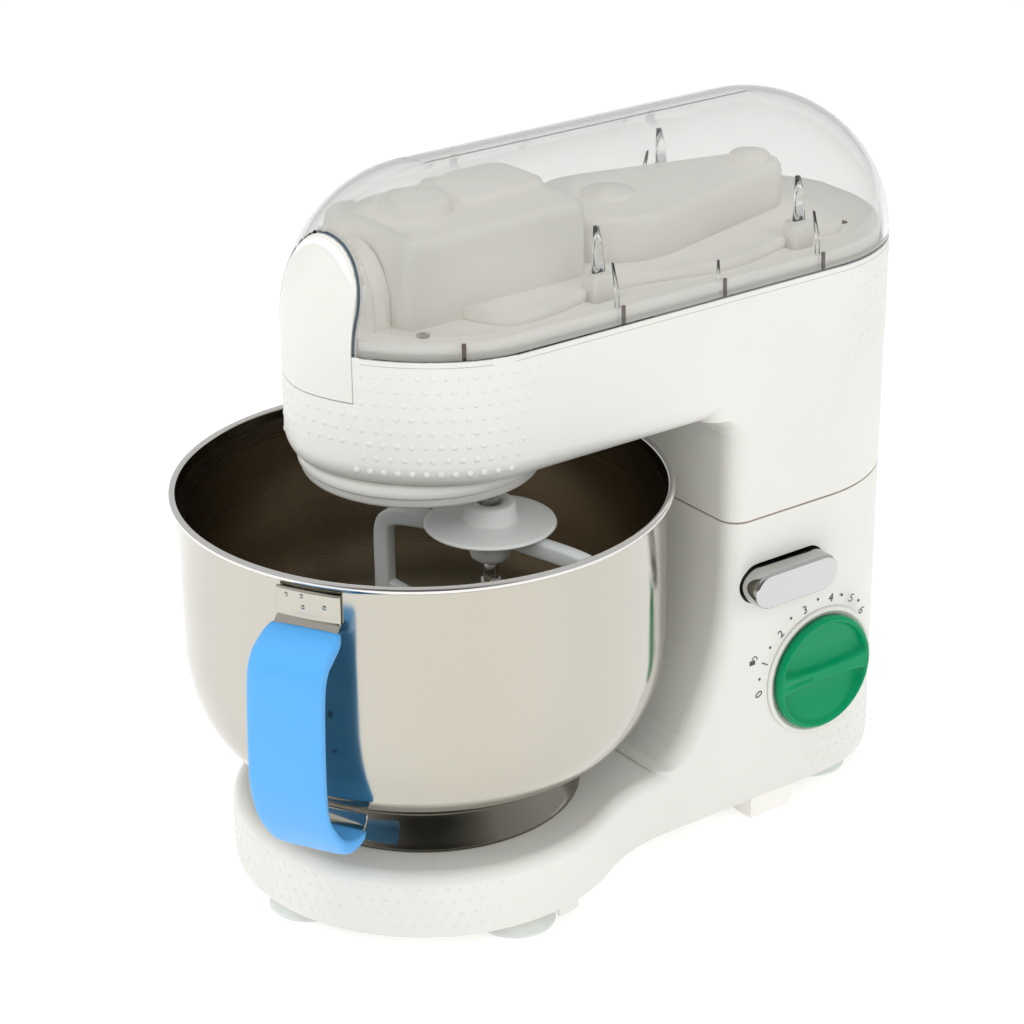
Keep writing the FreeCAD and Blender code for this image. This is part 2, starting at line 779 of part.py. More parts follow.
strap = handle_slab(strap_face(), float(size.strap_width))
outer_edge = curve_through(in_handle_plane(GRIP_OUTER)).toShape()
inner_edge = curve_through(in_handle_plane(GRIP_INNER)).toShape()
grip_ends = [Part.makeLine(in_handle_plane(GRIP_OUTER)[-1], in_handle_plane(GRIP_INNER)[0]),
             Part.makeLine(in_handle_plane(GRIP_INNER)[-1], in_handle_plane(GRIP_OUTER)[0])]
grip = handle_slab(Part.Face(Part.Wire([outer_edge, grip_ends[0], inner_edge, grip_ends[1]])),
                   float(size.grip_width))
strap_pocket = handle_slab(strap_face(), float(size.strap_width))
grip = grip.cut(strap_pocket)
vent_holes = [Part.makeCylinder(1.4, 4.4, Vector(129, 0, z), Vector(1, 0, 0))
              for z in (110, 118, 126)]
grip = grip.cut(vent_holes)
bowl_side = z_rod(float(size.bowl_radius) + 0.02, 60, 200, 0, 0)
strap = strap.cut(bowl_side.common(block(100, 120, -30, 30, 120, 200)))
strap = strap.cut(z_rod(200, 60, 64, 0, 0))
for name, solid in (("handle_strap", strap), ("handle_grip", grip)):
    solid.rotate(Vector(), Vector(0, 0, 1), float(size.handle_angle))
    node(name, feature(name, solid))

# ------------------------------------------------------------- inside the column

deck_outline = plan_block(wall + 0.5, float(size.deck_low), float(size.deck_high))
deck = deck_outline.common(block(-70, 70, 136, 213, 150, 170))
deck_front = column_block(wall + 0.5, float(size.deck_low), float(size.deck_high))
deck_front = deck_front.common(block(-70, 70, 120, 136, 150, 170))
deck = deck.fuse(deck_front)
deck = deck.cut([block(-13, 13, 137, 157, 150, 170), z_rod(5, 150, 170, -44, 170),
                 z_rod(5, 150, 170, 44, 170)])
node("column_deck", feature("column_deck", deck))

ear_reach = [(194, 160.1), (214, 160.1), (218, 163), (233, 187), (235, 194.5), (228, 203),
             (220, 201), (216, 192), (196, 166)]
ears = []
for side_x in (float(size.ear_inner), -float(size.ear_outer)):
    ear = prism([Vector(side_x, y, z) for y, z in ear_reach],
                Vector(float(size.ear_outer) - float(size.ear_inner), 0, 0))
    ears.append(ear.fuse(x_rod(float(size.ear_boss), side_x,
                               side_x + float(size.ear_outer) - float(size.ear_inner),
                               pivot_y, pivot_z)))
bracket = fused([block(-42, 42, 192, 212, 160.1, 163)] + ears)
bracket = bracket.cut(x_rod(float(size.pin_radius) + 0.02, -50, 50, pivot_y, pivot_z))
node("hinge_bracket", feature("hinge_bracket", bracket))
pin_shank = rod("pin_shank", size.pin_radius, -size.ear_outer - 2, size.ear_outer + 2,
                size.pivot_y, size.pivot_z, "x")
pin_head = rod("pin_head", size.pin_radius + 2, size.ear_outer + 0.1, size.ear_outer + 2.6,
               size.pivot_y, size.pivot_z, "x")
node("hinge_pin", fuse("hinge_pin", [pin_shank, pin_head]))

guide = stadium(58, 27, 42, 64.9, button_y, button_z)
guide_arms = [block(2, 44, 129, 133.5, 112, 116.5), block(2, 44, 180.5, 185, 112, 116.5)]
guide_back = block(2, 5, 129, 185, 112, 132)
guide_feet = [block(41.9, 64.9, 129, 134, 112, 126), block(41.9, 64.9, 180, 185, 112, 126)]
guide = fused([guide, guide_back] + guide_arms + guide_feet)
guide = guide.common(column_block(wall + 0.3, 100, 160))
guide = guide.cut([stadium(52.6, 20.2, 41, 66, button_y, button_z),
                   block(41, 55, 145, 169, 135, 150), block(33, 47, 149, 165, 115, 150)])
node("button_guide", feature("button_guide", guide))


def coil(radius, wire, turns, start, end, y, z):
    """A coil spring along x."""
    pitch = (end - start - 2 * wire) / turns
    helix = Part.makeHelix(pitch, end - start - 2 * wire, radius)
    ring = Part.Wire(Part.makeCircle(wire, Vector(radius, 0, 0), Vector(0, 1, 0)))
    spring = Part.Wire(helix).makePipeShell([ring], True, True)
    spring.rotate(Vector(), Vector(0, 1, 0), 90)
    spring.translate(Vector(start + wire, y, z))
    return spring


node("button_spring", feature("button_spring", coil(5, 0.6, 5, 5.3, 33.6, button_y, 122.5)))

# ------------------------------------------------------------- release button

back = float(size.button_back)
face_x = float(size.button_face)
cap = stadium(float(size.button_long), float(size.button_tall), back, face_x, button_y,
              button_z)
rim = [item for item in cap.Edges if abs(item.BoundBox.XMin - face_x) < 0.01]
cap = cap.makeFillet(1.6, rim)
hollow = stadium(float(size.button_long) - 4, float(size.button_tall) - 4, back - 1,
                 face_x - 2.5, button_y, button_z)
cap = cap.cut(hollow)
stem = fused([block(34, face_x - 1.5, 151, 163, 124.5, 133.5),
              block(34, 38, 151, 163, 117, 147.9)])
node("release_button", feature("release_button", cap.fuse(stem)))
bolt_plate = box("bolt_plate", as_size(-20), as_size(38), as_size(137.5), as_size(161),
                 size.latch_low, size.latch_high)
bolt_window = box("bolt_window", as_size(-10.5), as_size(25), as_size(140.5), as_size(157.5),
                  size.latch_low - 1, size.latch_high + 1)
node("latch_bolt", cut("latch_bolt", bolt_plate, [bolt_window]))

# ------------------------------------------------------------------ speed dial

bezel_plate = rod("bezel_plate", size.bezel_radius, size.body_half + 0.02,
                  size.body_half + 0.6, size.dial_y, size.dial_z, "x")
bezel_ring = rod("bezel_ring", size.bezel_radius, size.body_half + 0.5, size.bezel_high,
                 size.dial_y, size.dial_z, "x")
bezel_open = rod("bezel_open", size.dial_radius + 0.5, size.body_half + 0.6,
                 size.bezel_high + 1, size.dial_y, size.dial_z, "x")
bezel_bore = rod("bezel_bore", 5, size.body_half - 2, size.bezel_high + 1, size.dial_y,
                 size.dial_z, "x")
bezel_neck = rod("bezel_neck", 7.8, size.body_half - 5, size.body_half + 0.3, size.dial_y,
                 size.dial_z, "x")
neck_bore = rod("neck_bore", 5, size.body_half - 6, size.body_half + 2, size.dial_y,
                size.dial_z, "x")
bezel_shell = cut("bezel_shell", fuse("bezel_solid", [bezel_plate, bezel_ring]),
                  [bezel_open, bezel_bore])
node("dial_bezel", fuse("dial_bezel", [bezel_shell, cut("bezel_collar", bezel_neck,
                                                        [neck_bore])]))

dial_disc = rod("dial_disc", size.dial_radius, size.dial_low, size.dial_high, size.dial_y,
                size.dial_z, "x")
dial_dish = rod("dial_dish", size.dial_radius - 3, size.dial_high - 2, size.dial_high + 1,
                size.dial_y, size.dial_z, "x")
dial_bar = box("dial_bar", size.dial_low + 1, size.dial_high, size.dial_y - 27.5,
               size.dial_y + 27.5, size.dial_z - 2.75, size.dial_z + 2.75)
dial_slot = box("dial_slot", size.dial_high - 0.7, size.dial_high + 1, size.dial_y - 25,
                size.dial_y - 9, size.dial_z - 0.9, size.dial_z + 0.9)
dial_solid = fuse("dial_solid", [cut("dial_dished", dial_disc, [dial_dish]), dial_bar])
dial_socket = rod("dial_socket", 3, size.dial_low - 1, size.dial_low + 1.6, size.dial_y,
                  size.dial_z, "x")
node("speed_dial", cut("speed_dial", dial_solid, [dial_slot, dial_socket]))
node("dial_shaft", rod("dial_shaft", 2.95, as_size(48), size.dial_low + 1.5, size.dial_y,
                       size.dial_z, "x"))

switch_box = box("switch_box", as_size(40), as_size(62), size.dial_y - 17, size.dial_y + 17,
                 size.dial_z - 15, size.dial_z + 15)
switch_bore = rod("switch_bore", 3.1, as_size(47), as_size(63), size.dial_y, size.dial_z, "x")
switch_pins = [box(f"switch_pin_{i}", as_size(34), as_size(40.5), size.dial_y + step - 1,
                   size.dial_y + step + 1, size.dial_z - 4, size.dial_z + 4)
               for i, step in enumerate((-10, 0, 10))]
switch_foot = box("switch_foot", as_size(44), as_size(60), size.dial_y - 12,
                  size.dial_y + 12, size.plate_high, size.dial_z - 14.5)
node("speed_switch", fuse("speed_switch", [cut("switch_body", switch_box, [switch_bore]),
                                           switch_foot] + switch_pins))

board_plate = box("board_plate", as_size(-20), as_size(-18.4), as_size(140), as_size(225),
                  as_size(30), as_size(105))
board_feet = [box(f"board_foot_{i}", as_size(-23), as_size(-15.4), as_size(y), as_size(y + 8),
                  size.plate_high, as_size(34)) for i, y in enumerate((146, 210))]
board_chokes = [rod(f"board_choke_{i}", 6, as_size(-18.5), as_size(0), as_size(y),
                    as_size(80), "x") for i, y in enumerate((155, 175, 195))]
board_block = box("board_block", as_size(-18.5), as_size(2), as_size(150), as_size(190),
                  as_size(40), as_size(62))
node("control_board", fuse("control_board", [board_plate, board_block] + board_feet
                           + board_chokes))

gland = Part.makeCylinder(4.85, 8, inlet_spot - inlet_way * 5, inlet_way)
gland = gland.fuse(Part.makeCylinder(7.5, 2.2, inlet_spot + inlet_way * 2.5, inlet_way))
gland = gland.cut(Part.makeCylinder(3.1, 40, inlet_spot - inlet_way * 15, inlet_way))
node("cord_inlet", feature("cord_inlet", gland))

# ------------------------------------------------------------------------ head

under = float(size.underside)
seam = float(size.head_seam)
trim = float(size.trim)
cap_half = float(size.cap_half)
cap_low = float(size.cap_low)
cap_gap = float(size.cap_gap)
cover_wall = float(size.cover_wall)
edge = float(size.head_edge)
outer_head = head_block(0, seam, trim, edge)
inner_head = head_block(wall, float(size.floor_high), trim + 1, edge - wall)
outer_dome = cover_dome(0)
inner_dome = cover_dome(cover_wall)
cap_hole = arch_block(cap_half + cap_gap, cap_low - cap_gap, -80, -30)

column_open = plan_block(wall, seam - 1, 200).common(
    block(-70, 70, float(size.floor_back), 260, 150, 200))
below_floor = column_block(wall, seam - 1, float(size.floor_low))
tongue_hole = block(-10.4, 10.4, 146.6, 153.4, 160, 170)
head_shell = outer_head.cut([inner_head, column_open, below_floor, tongue_hole,
                             z_rod(float(size.underside_hole), 210, 225, 0, 0), cap_hole])
node("head_shell", feature("head_shell", head_shell))

clear_cover = outer_dome.cut([inner_dome, cap_hole])
clear_cover = clear_cover.cut(z_rod(200, trim - 1, trim + 0.1, 0, 100))
node("clear_cover", feature("clear_cover", clear_cover))

cap_space = arch_block(cap_half, cap_low, -80, -35)
cap_skin = outer_head.fuse(outer_dome).common(cap_space)
cap_inner = head_block(wall + 0.2, 200, trim, edge - wall).fuse(cover_dome(wall + 0.2))
node("front_cap", feature("front_cap", cap_skin.cut(cap_inner)))

frame_space = cover_dome(wall + 0.8).common(arch_block(27, 277, -60, -31))
frame = frame_space.cut(arch_block(23.5, 270, -61, -41)).cut(arch_block(19, 270, -61, -30))
node("outlet_frame", feature("outlet_frame", frame))

tray_low = float(size.tray_low)
tray_high = float(size.tray_high)
tray = plan_block(wall + 1.2, tray_low, tray_high)
tray = tray.cut(block(-36, 36, -31, 68, 270, 280))
tray = tray.cut([z_rod(6, 270, 280, 0, 103.75), z_rod(6, 270, 280, 0, 188),
                 block(-30, 30, -70, -29, 270, 280)])
tray_ring = plan_block(wall + 1.2, tray_high - 0.1, tray_high + 1.2).cut(
    plan_block(wall + 5, tray_high - 1, tray_high + 2)).cut(
    block(-30, 30, -70, -29, 270, 280))
posts = [z_rod(3.6, tray_high - 0.2, 295, x, y) for x in (-50, 50) for y in (60, 175)]
tray = tray.fuse([tray_ring] + posts)
screw_spots = [(41, -9), (-41, -9), (-4, 229), (46, 118), (-46, 118)]
tray = tray.cut([z_rod(1.6, 270, 280, x, y) for x, y in screw_spots])
node("inner_tray", feature("inner_tray", tray))
node("tray_screws", fuse("tray_screws", [
    part for i, (x, y) in enumerate(screw_spots) for part in (
        rod(f"tray_screw_head_{i}", 3.2, size.tray_high + 0.02, size.tray_high + 2.2, x, y),
        rod(f"tray_screw_shank_{i}", 1.5, size.tray_high - 8, size.tray_high + 1, x, y))]))

tower_front = float(size.tower_front)
tower_back = float(size.tower_back)
tower_half = float(size.tower_half)
tower_top = float(size.tower_top)
motor_plate_high = float(size.motor_plate_high)
tower = block(-tower_half, tower_half, tower_front, tower_back, motor_plate_high + 0.02,
              tower_top)
upright = [item for item in tower.Edges if item.BoundBox.ZLength > 20]
tower = tower.makeFillet(7, upright)
top_edges = [item for item in tower.Edges if item.BoundBox.ZMin > tower_top - 0.01]
tower = tower.makeFillet(5, top_edges)
boss_radius = float(size.tower_boss_radius)
tower = tower.fuse(z_rod(boss_radius, tower_top - 10, float(size.tower_boss_top), 0, 0))
hollow = block(3 - tower_half, tower_half - 3, tower_front + 3, tower_back - 3, 260,
               tower_top - 3)
tower = tower.common(cover_dome(cover_wall + 1.2).fuse(block(-36, 36, -31, 68, 262, 280)))
tower = tower.cut([hollow, z_rod(9, 300, tower_top + 1, 0, 0)])
outlet_z = float(size.outlet_z)
bearing = Part.makeCylinder(11, 8, Vector(0, tower_front - 3, outlet_z), Vector(0, 1, 0))
tower = tower.fuse(bearing)
tower = tower.cut(Part.makeCylinder(5.05, 20, Vector(0, -42, outlet_z), Vector(0, 1, 0)))
node("gear_tower", feature("gear_tower", tower))


def belt_outline(grow, low, high, front_y, motor_y):
    """Two circles and the straight sides that join them, as a solid."""
    big = float(size.large_pulley) + grow
    small = float(size.small_pulley) + grow
    length = motor_y - front_y
    slope = (big - small) / length
    rise = math.sqrt(1 - slope ** 2)
    sides = [Vector(big * rise, front_y + big * slope, low),
             Vector(small * rise, motor_y + small * slope, low),
             Vector(-small * rise, motor_y + small * slope, low),
             Vector(-big * rise, front_y + big * slope, low)]
    body = prism(sides, Vector(0, 0, high - low))
    return body.fuse([z_rod(big, low, high, 0, front_y), z_rod(small, low, high, 0, motor_y)])


module = float(size.gear_module)
second_y = module * (float(size.main_teeth) + float(size.first_teeth)) / 2
third_y = second_y + module * (float(size.second_teeth) + float(size.third_teeth)) / 2
motor_y = float(size.motor_y)
pulley_low = float(size.pulley_low)
pulley_high = float(size.pulley_high)
cover_top = float(size.belt_cover_top)
cover_low = tray_high + 0.02
belt_cover = belt_outline(6.2, cover_low, cover_top, third_y, motor_y)
belt_cover = belt_cover.cut(belt_outline(3.6, cover_low - 1, cover_top - 2.4, third_y,
                                         motor_y))
belt_cover = belt_cover.fuse([z_rod(9.7, cover_top - 1, cover_top + 2.4, 0, motor_y),
                              z_rod(13, cover_top - 1, cover_top + 1.4, 0, third_y)])
belt_cover = belt_cover.cut(block(-40, 40, tower_front, tower_back + 0.1, 270, 320))
node("belt_cover", feature("belt_cover", belt_cover))

belt_wall = float(size.belt_wall)
belt = belt_outline(belt_wall + 0.3, pulley_low + 2.5, pulley_high - 2.5, third_y, motor_y)
belt = belt.cut(belt_outline(0.3, pulley_low, pulley_high, third_y, motor_y))
node("drive_belt", feature("drive_belt", belt))

plate_low = float(size.gear_plate_low)
plate_high = float(size.gear_plate_high)
gear_plate = plan_block(wall + 0.5, plate_low, plate_high).common(
    block(-70, 70, -70, 152, 220, 240))
gear_plate = gear_plate.cut([z_rod(7.6, 220, 240, 0, 0), z_rod(3.05, 220, 240, 0, second_y),
                             z_rod(4.05, 220, 240, 0, third_y)])
node("gear_plate", feature("gear_plate", gear_plate))

plate_low = float(size.motor_plate_low)
plate_high = float(size.motor_plate_high)
motor_plate = plan_block(wall + 0.5, plate_low, plate_high).common(
    block(-64, 64, -45, 242, 255, 270))
motor_plate = motor_plate.cut([z_rod(6.3, 255, 270, 0, 0), z_rod(3.05, 255, 270, 0, second_y),
                               z_rod(4.05, 255, 270, 0, third_y),
                               z_rod(4.1, 255, 270, 0, motor_y),
                               z_rod(5, 255, 270, 44, 130), z_rod(5, 255, 270, -44, 130)])
stator_high = float(size.stator_high)
hangers = [z_rod(2.2, stator_high + 0.02, plate_low + 1, 25 * math.cos(a),
                 motor_y + 25 * math.sin(a))
           for a in (math.radians(t) for t in (45, 135, 225, 315))]
cheeks = []
for cheek_x in (float(size.cheek_inner), -float(size.cheek_outer)):
    cheek = block(cheek_x, cheek_x + 6, 219, 238, 200, plate_low + 1)
    cheeks.append(cheek.fuse(x_rod(9.5, cheek_x, cheek_x + 6, pivot_y, pivot_z)))
motor_plate = fused([motor_plate] + hangers + cheeks)
motor_plate = motor_plate.cut([x_rod(float(size.pin_radius) + 0.06, -40, 40, pivot_y,
                                     pivot_z), z_rod(float(size.motor_radius) + 0.3, 180,
                                                     stator_high, 0, motor_y)])
node("motor_plate", feature("motor_plate", motor_plate))

stator_can = tube("stator_can", size.motor_radius, size.rotor_radius + 0.5,
                  size.stator_low, size.stator_high, 0, size.motor_y)
end_bell = tube("end_bell", size.motor_radius - 2, 4.05, size.stator_low - 4,
                size.stator_low, 0, size.motor_y)
brush_boxes = [box(f"brush_box_{i}", as_size(x), as_size(x + 9), size.motor_y - 4,
                   size.motor_y + 4, size.stator_low + 6, size.stator_low + 16)
               for i, x in enumerate((-36, 27))]
stator_trim = rod("stator_trim", size.motor_radius - 0.5, size.stator_low, size.stator_high,
                  0, size.motor_y)
brushes = cut("brushes", fuse("brush_pair", brush_boxes), [stator_trim])
node("motor_stator", fuse("motor_stator", [stator_can, end_bell, brushes]))

keeper_flange = box("keeper_flange", as_size(-16), as_size(16), as_size(142), as_size(158),
                    size.floor_high + 0.02, size.floor_high + 3)
keeper_tongue = box("keeper_tongue", as_size(-10), as_size(10), as_size(147), as_size(153),
                    size.latch_low, size.floor_high + 1)
node("latch_keeper", fuse("latch_keeper", [keeper_flange, keeper_tongue]))

# ------------------------------------------------------------------- gear train


def gear_outline(teeth, tip, root, play, turn, z):
    """Straight-flanked teeth between two radii; play narrows (+) or widens (-) them."""
    pitch = module * teeth / 2
    base = pitch * math.cos(math.radians(20))

    def involute(radius):
        angle = math.acos(min(base / max(radius, base), 1))
        return math.tan(angle) - angle

    corners = []
    for tooth in range(int(teeth)):
        middle = turn + 2 * math.pi * tooth / teeth
        for radius, side in ((root, -1), (tip, -1), (tip, 1), (root, 1)):
            half = math.pi / (2 * teeth) - play / (2 * pitch)
            half += involute(pitch) - involute(radius)
            corners.append(Vector(radius * math.cos(middle + side * half),
                                  radius * math.sin(middle + side * half), z))
    return corners


def outer_gear(teeth, low, high, turn):
    pitch = module * teeth / 2
    play = float(size.tooth_play)
    corners = gear_outline(teeth, pitch + 0.85 * module, pitch - 1.15 * module, play, turn, low)
    return prism(corners, Vector(0, 0, high - low))


def moved(shape, x, y):
    shape.translate(Vector(x, y, 0))
    return shape


ring_teeth = int(float(size.ring_teeth))
pinion_teeth = int(float(size.pinion_teeth))
main_teeth = int(float(size.main_teeth))
first_teeth = int(float(size.first_teeth))
second_teeth = int(float(size.second_teeth))
third_teeth = int(float(size.third_teeth))
offset = module * (ring_teeth - pinion_teeth) / 2
beater_turn = math.radians(float(size.beater_angle))
beater_x = offset * math.cos(beater_turn)
beater_y = offset * math.sin(beater_turn)
planet_low = float(size.planet_low)
planet_high = float(size.planet_high)
lower_mesh = float(size.lower_mesh)
upper_mesh = float(size.upper_mesh)
width = float(size.gear_width)

ring_pitch = module * ring_teeth / 2
space = prism(gear_outline(ring_teeth, ring_pitch + 1.15 * module, ring_pitch - 0.85 * module,
                           -float(size.tooth_play), beater_turn, planet_low - 1),
              Vector(0, 0, planet_high - planet_low + 2))
ring_gear = z_rod(ring_pitch + 4, planet_low, planet_high, 0, 0).cut(space)
node("ring_gear", feature("ring_gear", ring_gear))

planet_hub = lathe("planet_hub_turned", [
    (0, size.hub_low), (size.hub_radius - 5, size.hub_low),
    (size.hub_radius - 1.6, size.hub_low + 1.2), (size.hub_radius, size.hub_low + 4),
    (size.hub_radius, size.hub_high), (size.hub_neck, size.hub_high),
    (size.hub_neck, size.hub_high + 2.9), (12, size.hub_high + 2.9),
    (12, size.gear_plate_low - 3), (0, size.gear_plate_low - 3)])
hub_boss = rod("hub_boss", 11, size.hub_low - 6, size.hub_low + 1, beater_x, beater_y)
hub_bore = rod("hub_bore", size.shaft_radius + 0.05, size.hub_low - 8,
               size.gear_plate_low - 1, beater_x, beater_y)
pinion_room = rod("pinion_room", module * pinion_teeth / 2 + 2, size.hub_high + 2.9,
                  size.gear_plate_low, beater_x, beater_y)
node("planet_hub", cut("planet_hub", fuse("hub_solid", [planet_hub, hub_boss]),
                       [hub_bore, pinion_room]))

planet_shaft = rod("planet_rod", 6, size.gear_plate_low - 2.98, as_size(281), 0, 0)
planet_bevel = cone("planet_bevel", 13, 8.7, size.outlet_z - 13.3, size.outlet_z - 9, 0, 0)
planet_collar = rod("planet_collar", 7.5, size.gear_plate_low - 2.98,
                    size.gear_plate_high + 1, 0, 0)
node("planet_shaft", fuse("planet_shaft", [planet_shaft, planet_collar, planet_bevel]))

first_phase = math.pi / 2
main_gear = outer_gear(main_teeth, lower_mesh, lower_mesh + width, first_phase)
main_gear = main_gear.fuse(z_rod(11, lower_mesh - 2.5, lower_mesh + 1, 0, 0))
main_gear = main_gear.cut(z_rod(6.02, 230, 260, 0, 0))
windows = [z_rod(9, 230, 260, 28 * math.cos(a), 28 * math.sin(a))
           for a in (math.radians(60 * t) for t in range(6))]
node("main_gear", feature("main_gear", main_gear.cut(windows)))

first_gear = outer_gear(first_teeth, lower_mesh, upper_mesh + 0.1,
                        first_phase + math.pi / first_teeth)
second_gear = outer_gear(second_teeth, upper_mesh, upper_mesh + width, math.pi / 2)
axle = z_rod(3, 230.5, plate_high - 0.5, 0, 0)
cluster = moved(fused([first_gear, second_gear, axle]), 0, second_y)
node("cluster_gear", feature("cluster_gear", cluster))

third_gear = outer_gear(third_teeth, upper_mesh - 1, upper_mesh + width + 1,
                        math.pi / 2 + math.pi / third_teeth)
pulley_shaft = fused([third_gear, z_rod(4, 230.5, pulley_low + 0.1, 0, 0),
                      z_rod(3, pulley_low, pulley_high + 3, 0, 0)])
node("pulley_shaft", feature("pulley_shaft", moved(pulley_shaft, 0, third_y)))


def pulley(name, radius, bore, y):
    """A flanged pulley for the flat belt."""
    core = rod(f"{name}_core", radius, size.pulley_low + 0.1, size.pulley_high, 0, y)
    flanges = [rod(f"{name}_low", radius + 2.6, size.pulley_low + 0.1, size.pulley_low + 1.8,
                   0, y),
               rod(f"{name}_high", radius + 2.6, size.pulley_high - 1.8, size.pulley_high,
                   0, y)]
    hole = rod(f"{name}_hole", bore, size.pulley_low - 1, size.pulley_high + 1, 0, y)
    return cut(name, fuse(f"{name}_solid", [core] + flanges), [hole])


node("large_pulley", pulley("large_pulley", size.large_pulley, 3.02, third_y))
node("motor_pulley", pulley("motor_pulley", size.small_pulley, 3.02, size.motor_y))

motor_shaft = fuse("motor_shaft", [
    rod("shaft_thick", 4, size.stator_low - 5, size.pulley_low, 0, size.motor_y),
    rod("shaft_thin", 3, size.pulley_low - 1, size.pulley_high + 3, 0, size.motor_y)])
node("motor_shaft", motor_shaft)
node("motor_rotor", tube("motor_rotor", size.rotor_radius, 4.02, size.stator_low + 4,
                         size.stator_high - 4, 0, size.motor_y))

fan_hub = z_rod(8, 253, 259, 0, motor_y)
blades = []
for turn in range(9):
    blade = block(7, 20, motor_y - 0.8, motor_y + 0.8, 253, 258)
    blade.rotate(Vector(10, motor_y, 255), Vector(1, 0, 0), 28)
    blade.rotate(Vector(0, motor_y, 0), Vector(0, 0, 1), 40 * turn)
    blades.append(blade)
fan = fused([fan_hub] + blades).cut(z_rod(4.02, 240, 265, 0, motor_y))
node("cooling_fan", feature("cooling_fan", fan))

outlet_rod = rod("outlet_rod", 5, as_size(-46), as_size(-12), 0, size.outlet_z, "y")
outlet_bevel = cone("outlet_bevel", 12.7, 8.4, as_size(-13.3), as_size(-9), 0, size.outlet_z,
                    "y")
outlet_socket = rod("outlet_socket", 9, as_size(-53), as_size(-36), 0, size.outlet_z, "y")
outlet_bore = rod("outlet_bore", 5.2, as_size(-54), as_size(-43), 0, size.outlet_z, "y")
outlet_solid = fuse("outlet_solid", [outlet_rod, outlet_bevel, outlet_socket])
node("outlet_shaft", cut("outlet_shaft", outlet_solid, [outlet_bore]))

# ---------------------------------------------------------------------- beater

beater_pinion = outer_gear(pinion_teeth, planet_low - 1.4, planet_high - 1,
                           beater_turn)
beater_pinion = beater_pinion.cut(z_rod(float(size.shaft_radius) + 0.02, 210, 240, 0, 0))
node("beater_pinion", feature("beater_pinion", moved(beater_pinion, beater_x, beater_y)))
beater_shaft = rod("beater_rod", size.shaft_radius, as_size(166), size.planet_high - 0.8,
                   beater_x, beater_y)
node("beater_shaft", beater_shaft)

splash = lathe("splash_disc_turned", [
    (9, size.splash_height), (size.splash_radius, size.splash_height - 1.4),
    (size.splash_radius, size.splash_height), (12, size.splash_height + 2.4),
    (12, size.splash_height + 9.6), (9, size.splash_height + 9.6)])
put(splash, as_size(beater_x), as_size(beater_y), as_size(0))
node("splash_disc", splash)

reach = float(size.beater_reach)
beater_top = float(size.beater_top)
beater_low = float(size.beater_low)
thick = float(size.beater_thick)
blade_outline = [(8, beater_top + 2), (30, beater_top), (reach - 6, beater_top - 3.5),
                 (reach - 1, beater_top - 7), (reach, beater_top - 13), (reach, 112),
                 (reach - 4, 97), (reach - 12, 84), (reach - 24, beater_low + 1),
                 (20, beater_low)]
mirror = [(-u, z) for u, z in reversed(blade_outline)]
blade = prism([Vector(u, -thick / 2, z) for u, z in blade_outline + mirror],
              Vector(0, thick, 0))
upper_window = [(12, beater_top - 10), (reach - 12, beater_top - 13), (reach - 9, 140),
                (12, 128)]
lower_window = [(12, 117), (reach - 9, 129), (reach - 9, 112), (reach - 13, 99),
                (reach - 20, 89), (20, beater_low + 9), (12, beater_low + 9)]
openings = []
for outline in (upper_window, lower_window):
    for sign in (1, -1):
        openings.append(prism([Vector(sign * u, -thick, z) for u, z in outline],
                              Vector(0, 2 * thick, 0)))
blade = blade.cut(openings)
hub = z_rod(9.8, 162, float(size.splash_height) - 0.1, 0, 0)
blade = blade.fuse(hub).cut(z_rod(float(size.shaft_radius) + 0.02, 160, 185, 0, 0))
blade = blade.cut(Part.makeCylinder(1.6, 40, Vector(0, -20, 170), Vector(0, 1, 0)))
blade.rotate(Vector(), Vector(0, 0, 1), float(size.beater_turn))
node("flat_beater", feature("flat_beater", moved(blade, beater_x, beater_y)))

pin_turn = math.radians(float(size.beater_turn) + 90)
pin_way = Vector(math.cos(pin_turn), math.sin(pin_turn), 0)
drive_pin = []
for sign in (1, -1):
    start = Vector(beater_x, beater_y, 170) + pin_way * (4.6 * sign)
    drive_pin.append(Part.makeCylinder(1.55, 5, start, pin_way * sign))
node("beater_pin", feature("beater_pin", Part.makeCompound(drive_pin)))

# ---------------------------------------------------------------------- export

doc.recompute()
for name, obj in nodes.items():
    if any(flag in obj.State for flag in ("Invalid", "Error")):
        raise RuntimeError(f"{name}: {obj.State}")
    if obj.Shape.isNull() or not obj.Shape.isValid():
        raise RuntimeError(f"{name}: bad shape")
    obj.Shape.exportStep(os.path.join("parts", f"{name}.step"))
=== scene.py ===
import math

import bmesh
import bpy
from mathutils import Matrix, Vector


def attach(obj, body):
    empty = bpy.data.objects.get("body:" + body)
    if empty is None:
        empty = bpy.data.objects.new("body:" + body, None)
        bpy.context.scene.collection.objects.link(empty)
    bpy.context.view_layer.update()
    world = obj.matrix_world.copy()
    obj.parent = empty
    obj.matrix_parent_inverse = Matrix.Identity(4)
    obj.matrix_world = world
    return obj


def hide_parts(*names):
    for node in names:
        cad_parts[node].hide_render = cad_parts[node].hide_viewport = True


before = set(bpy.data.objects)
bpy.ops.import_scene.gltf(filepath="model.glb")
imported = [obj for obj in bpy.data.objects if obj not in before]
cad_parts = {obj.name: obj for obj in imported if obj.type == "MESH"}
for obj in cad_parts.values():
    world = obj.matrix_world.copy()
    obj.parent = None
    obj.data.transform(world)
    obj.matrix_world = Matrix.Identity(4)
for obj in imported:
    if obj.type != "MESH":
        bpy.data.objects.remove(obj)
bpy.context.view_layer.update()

MM = 0.001
AXIS_Y = -62.5  # the bowl's axis, in the frame
HALF = 68.5  # half the width of the head and of the column
NOSE_Y = 5.6  # where the head's straight sides end in front
REAR_Y = 186.2  # and behind
NOSE_POWER = 1.72  # power of the superellipse that the nose follows in plan
TRIM = 275.8  # height of the trim line under the clear cover
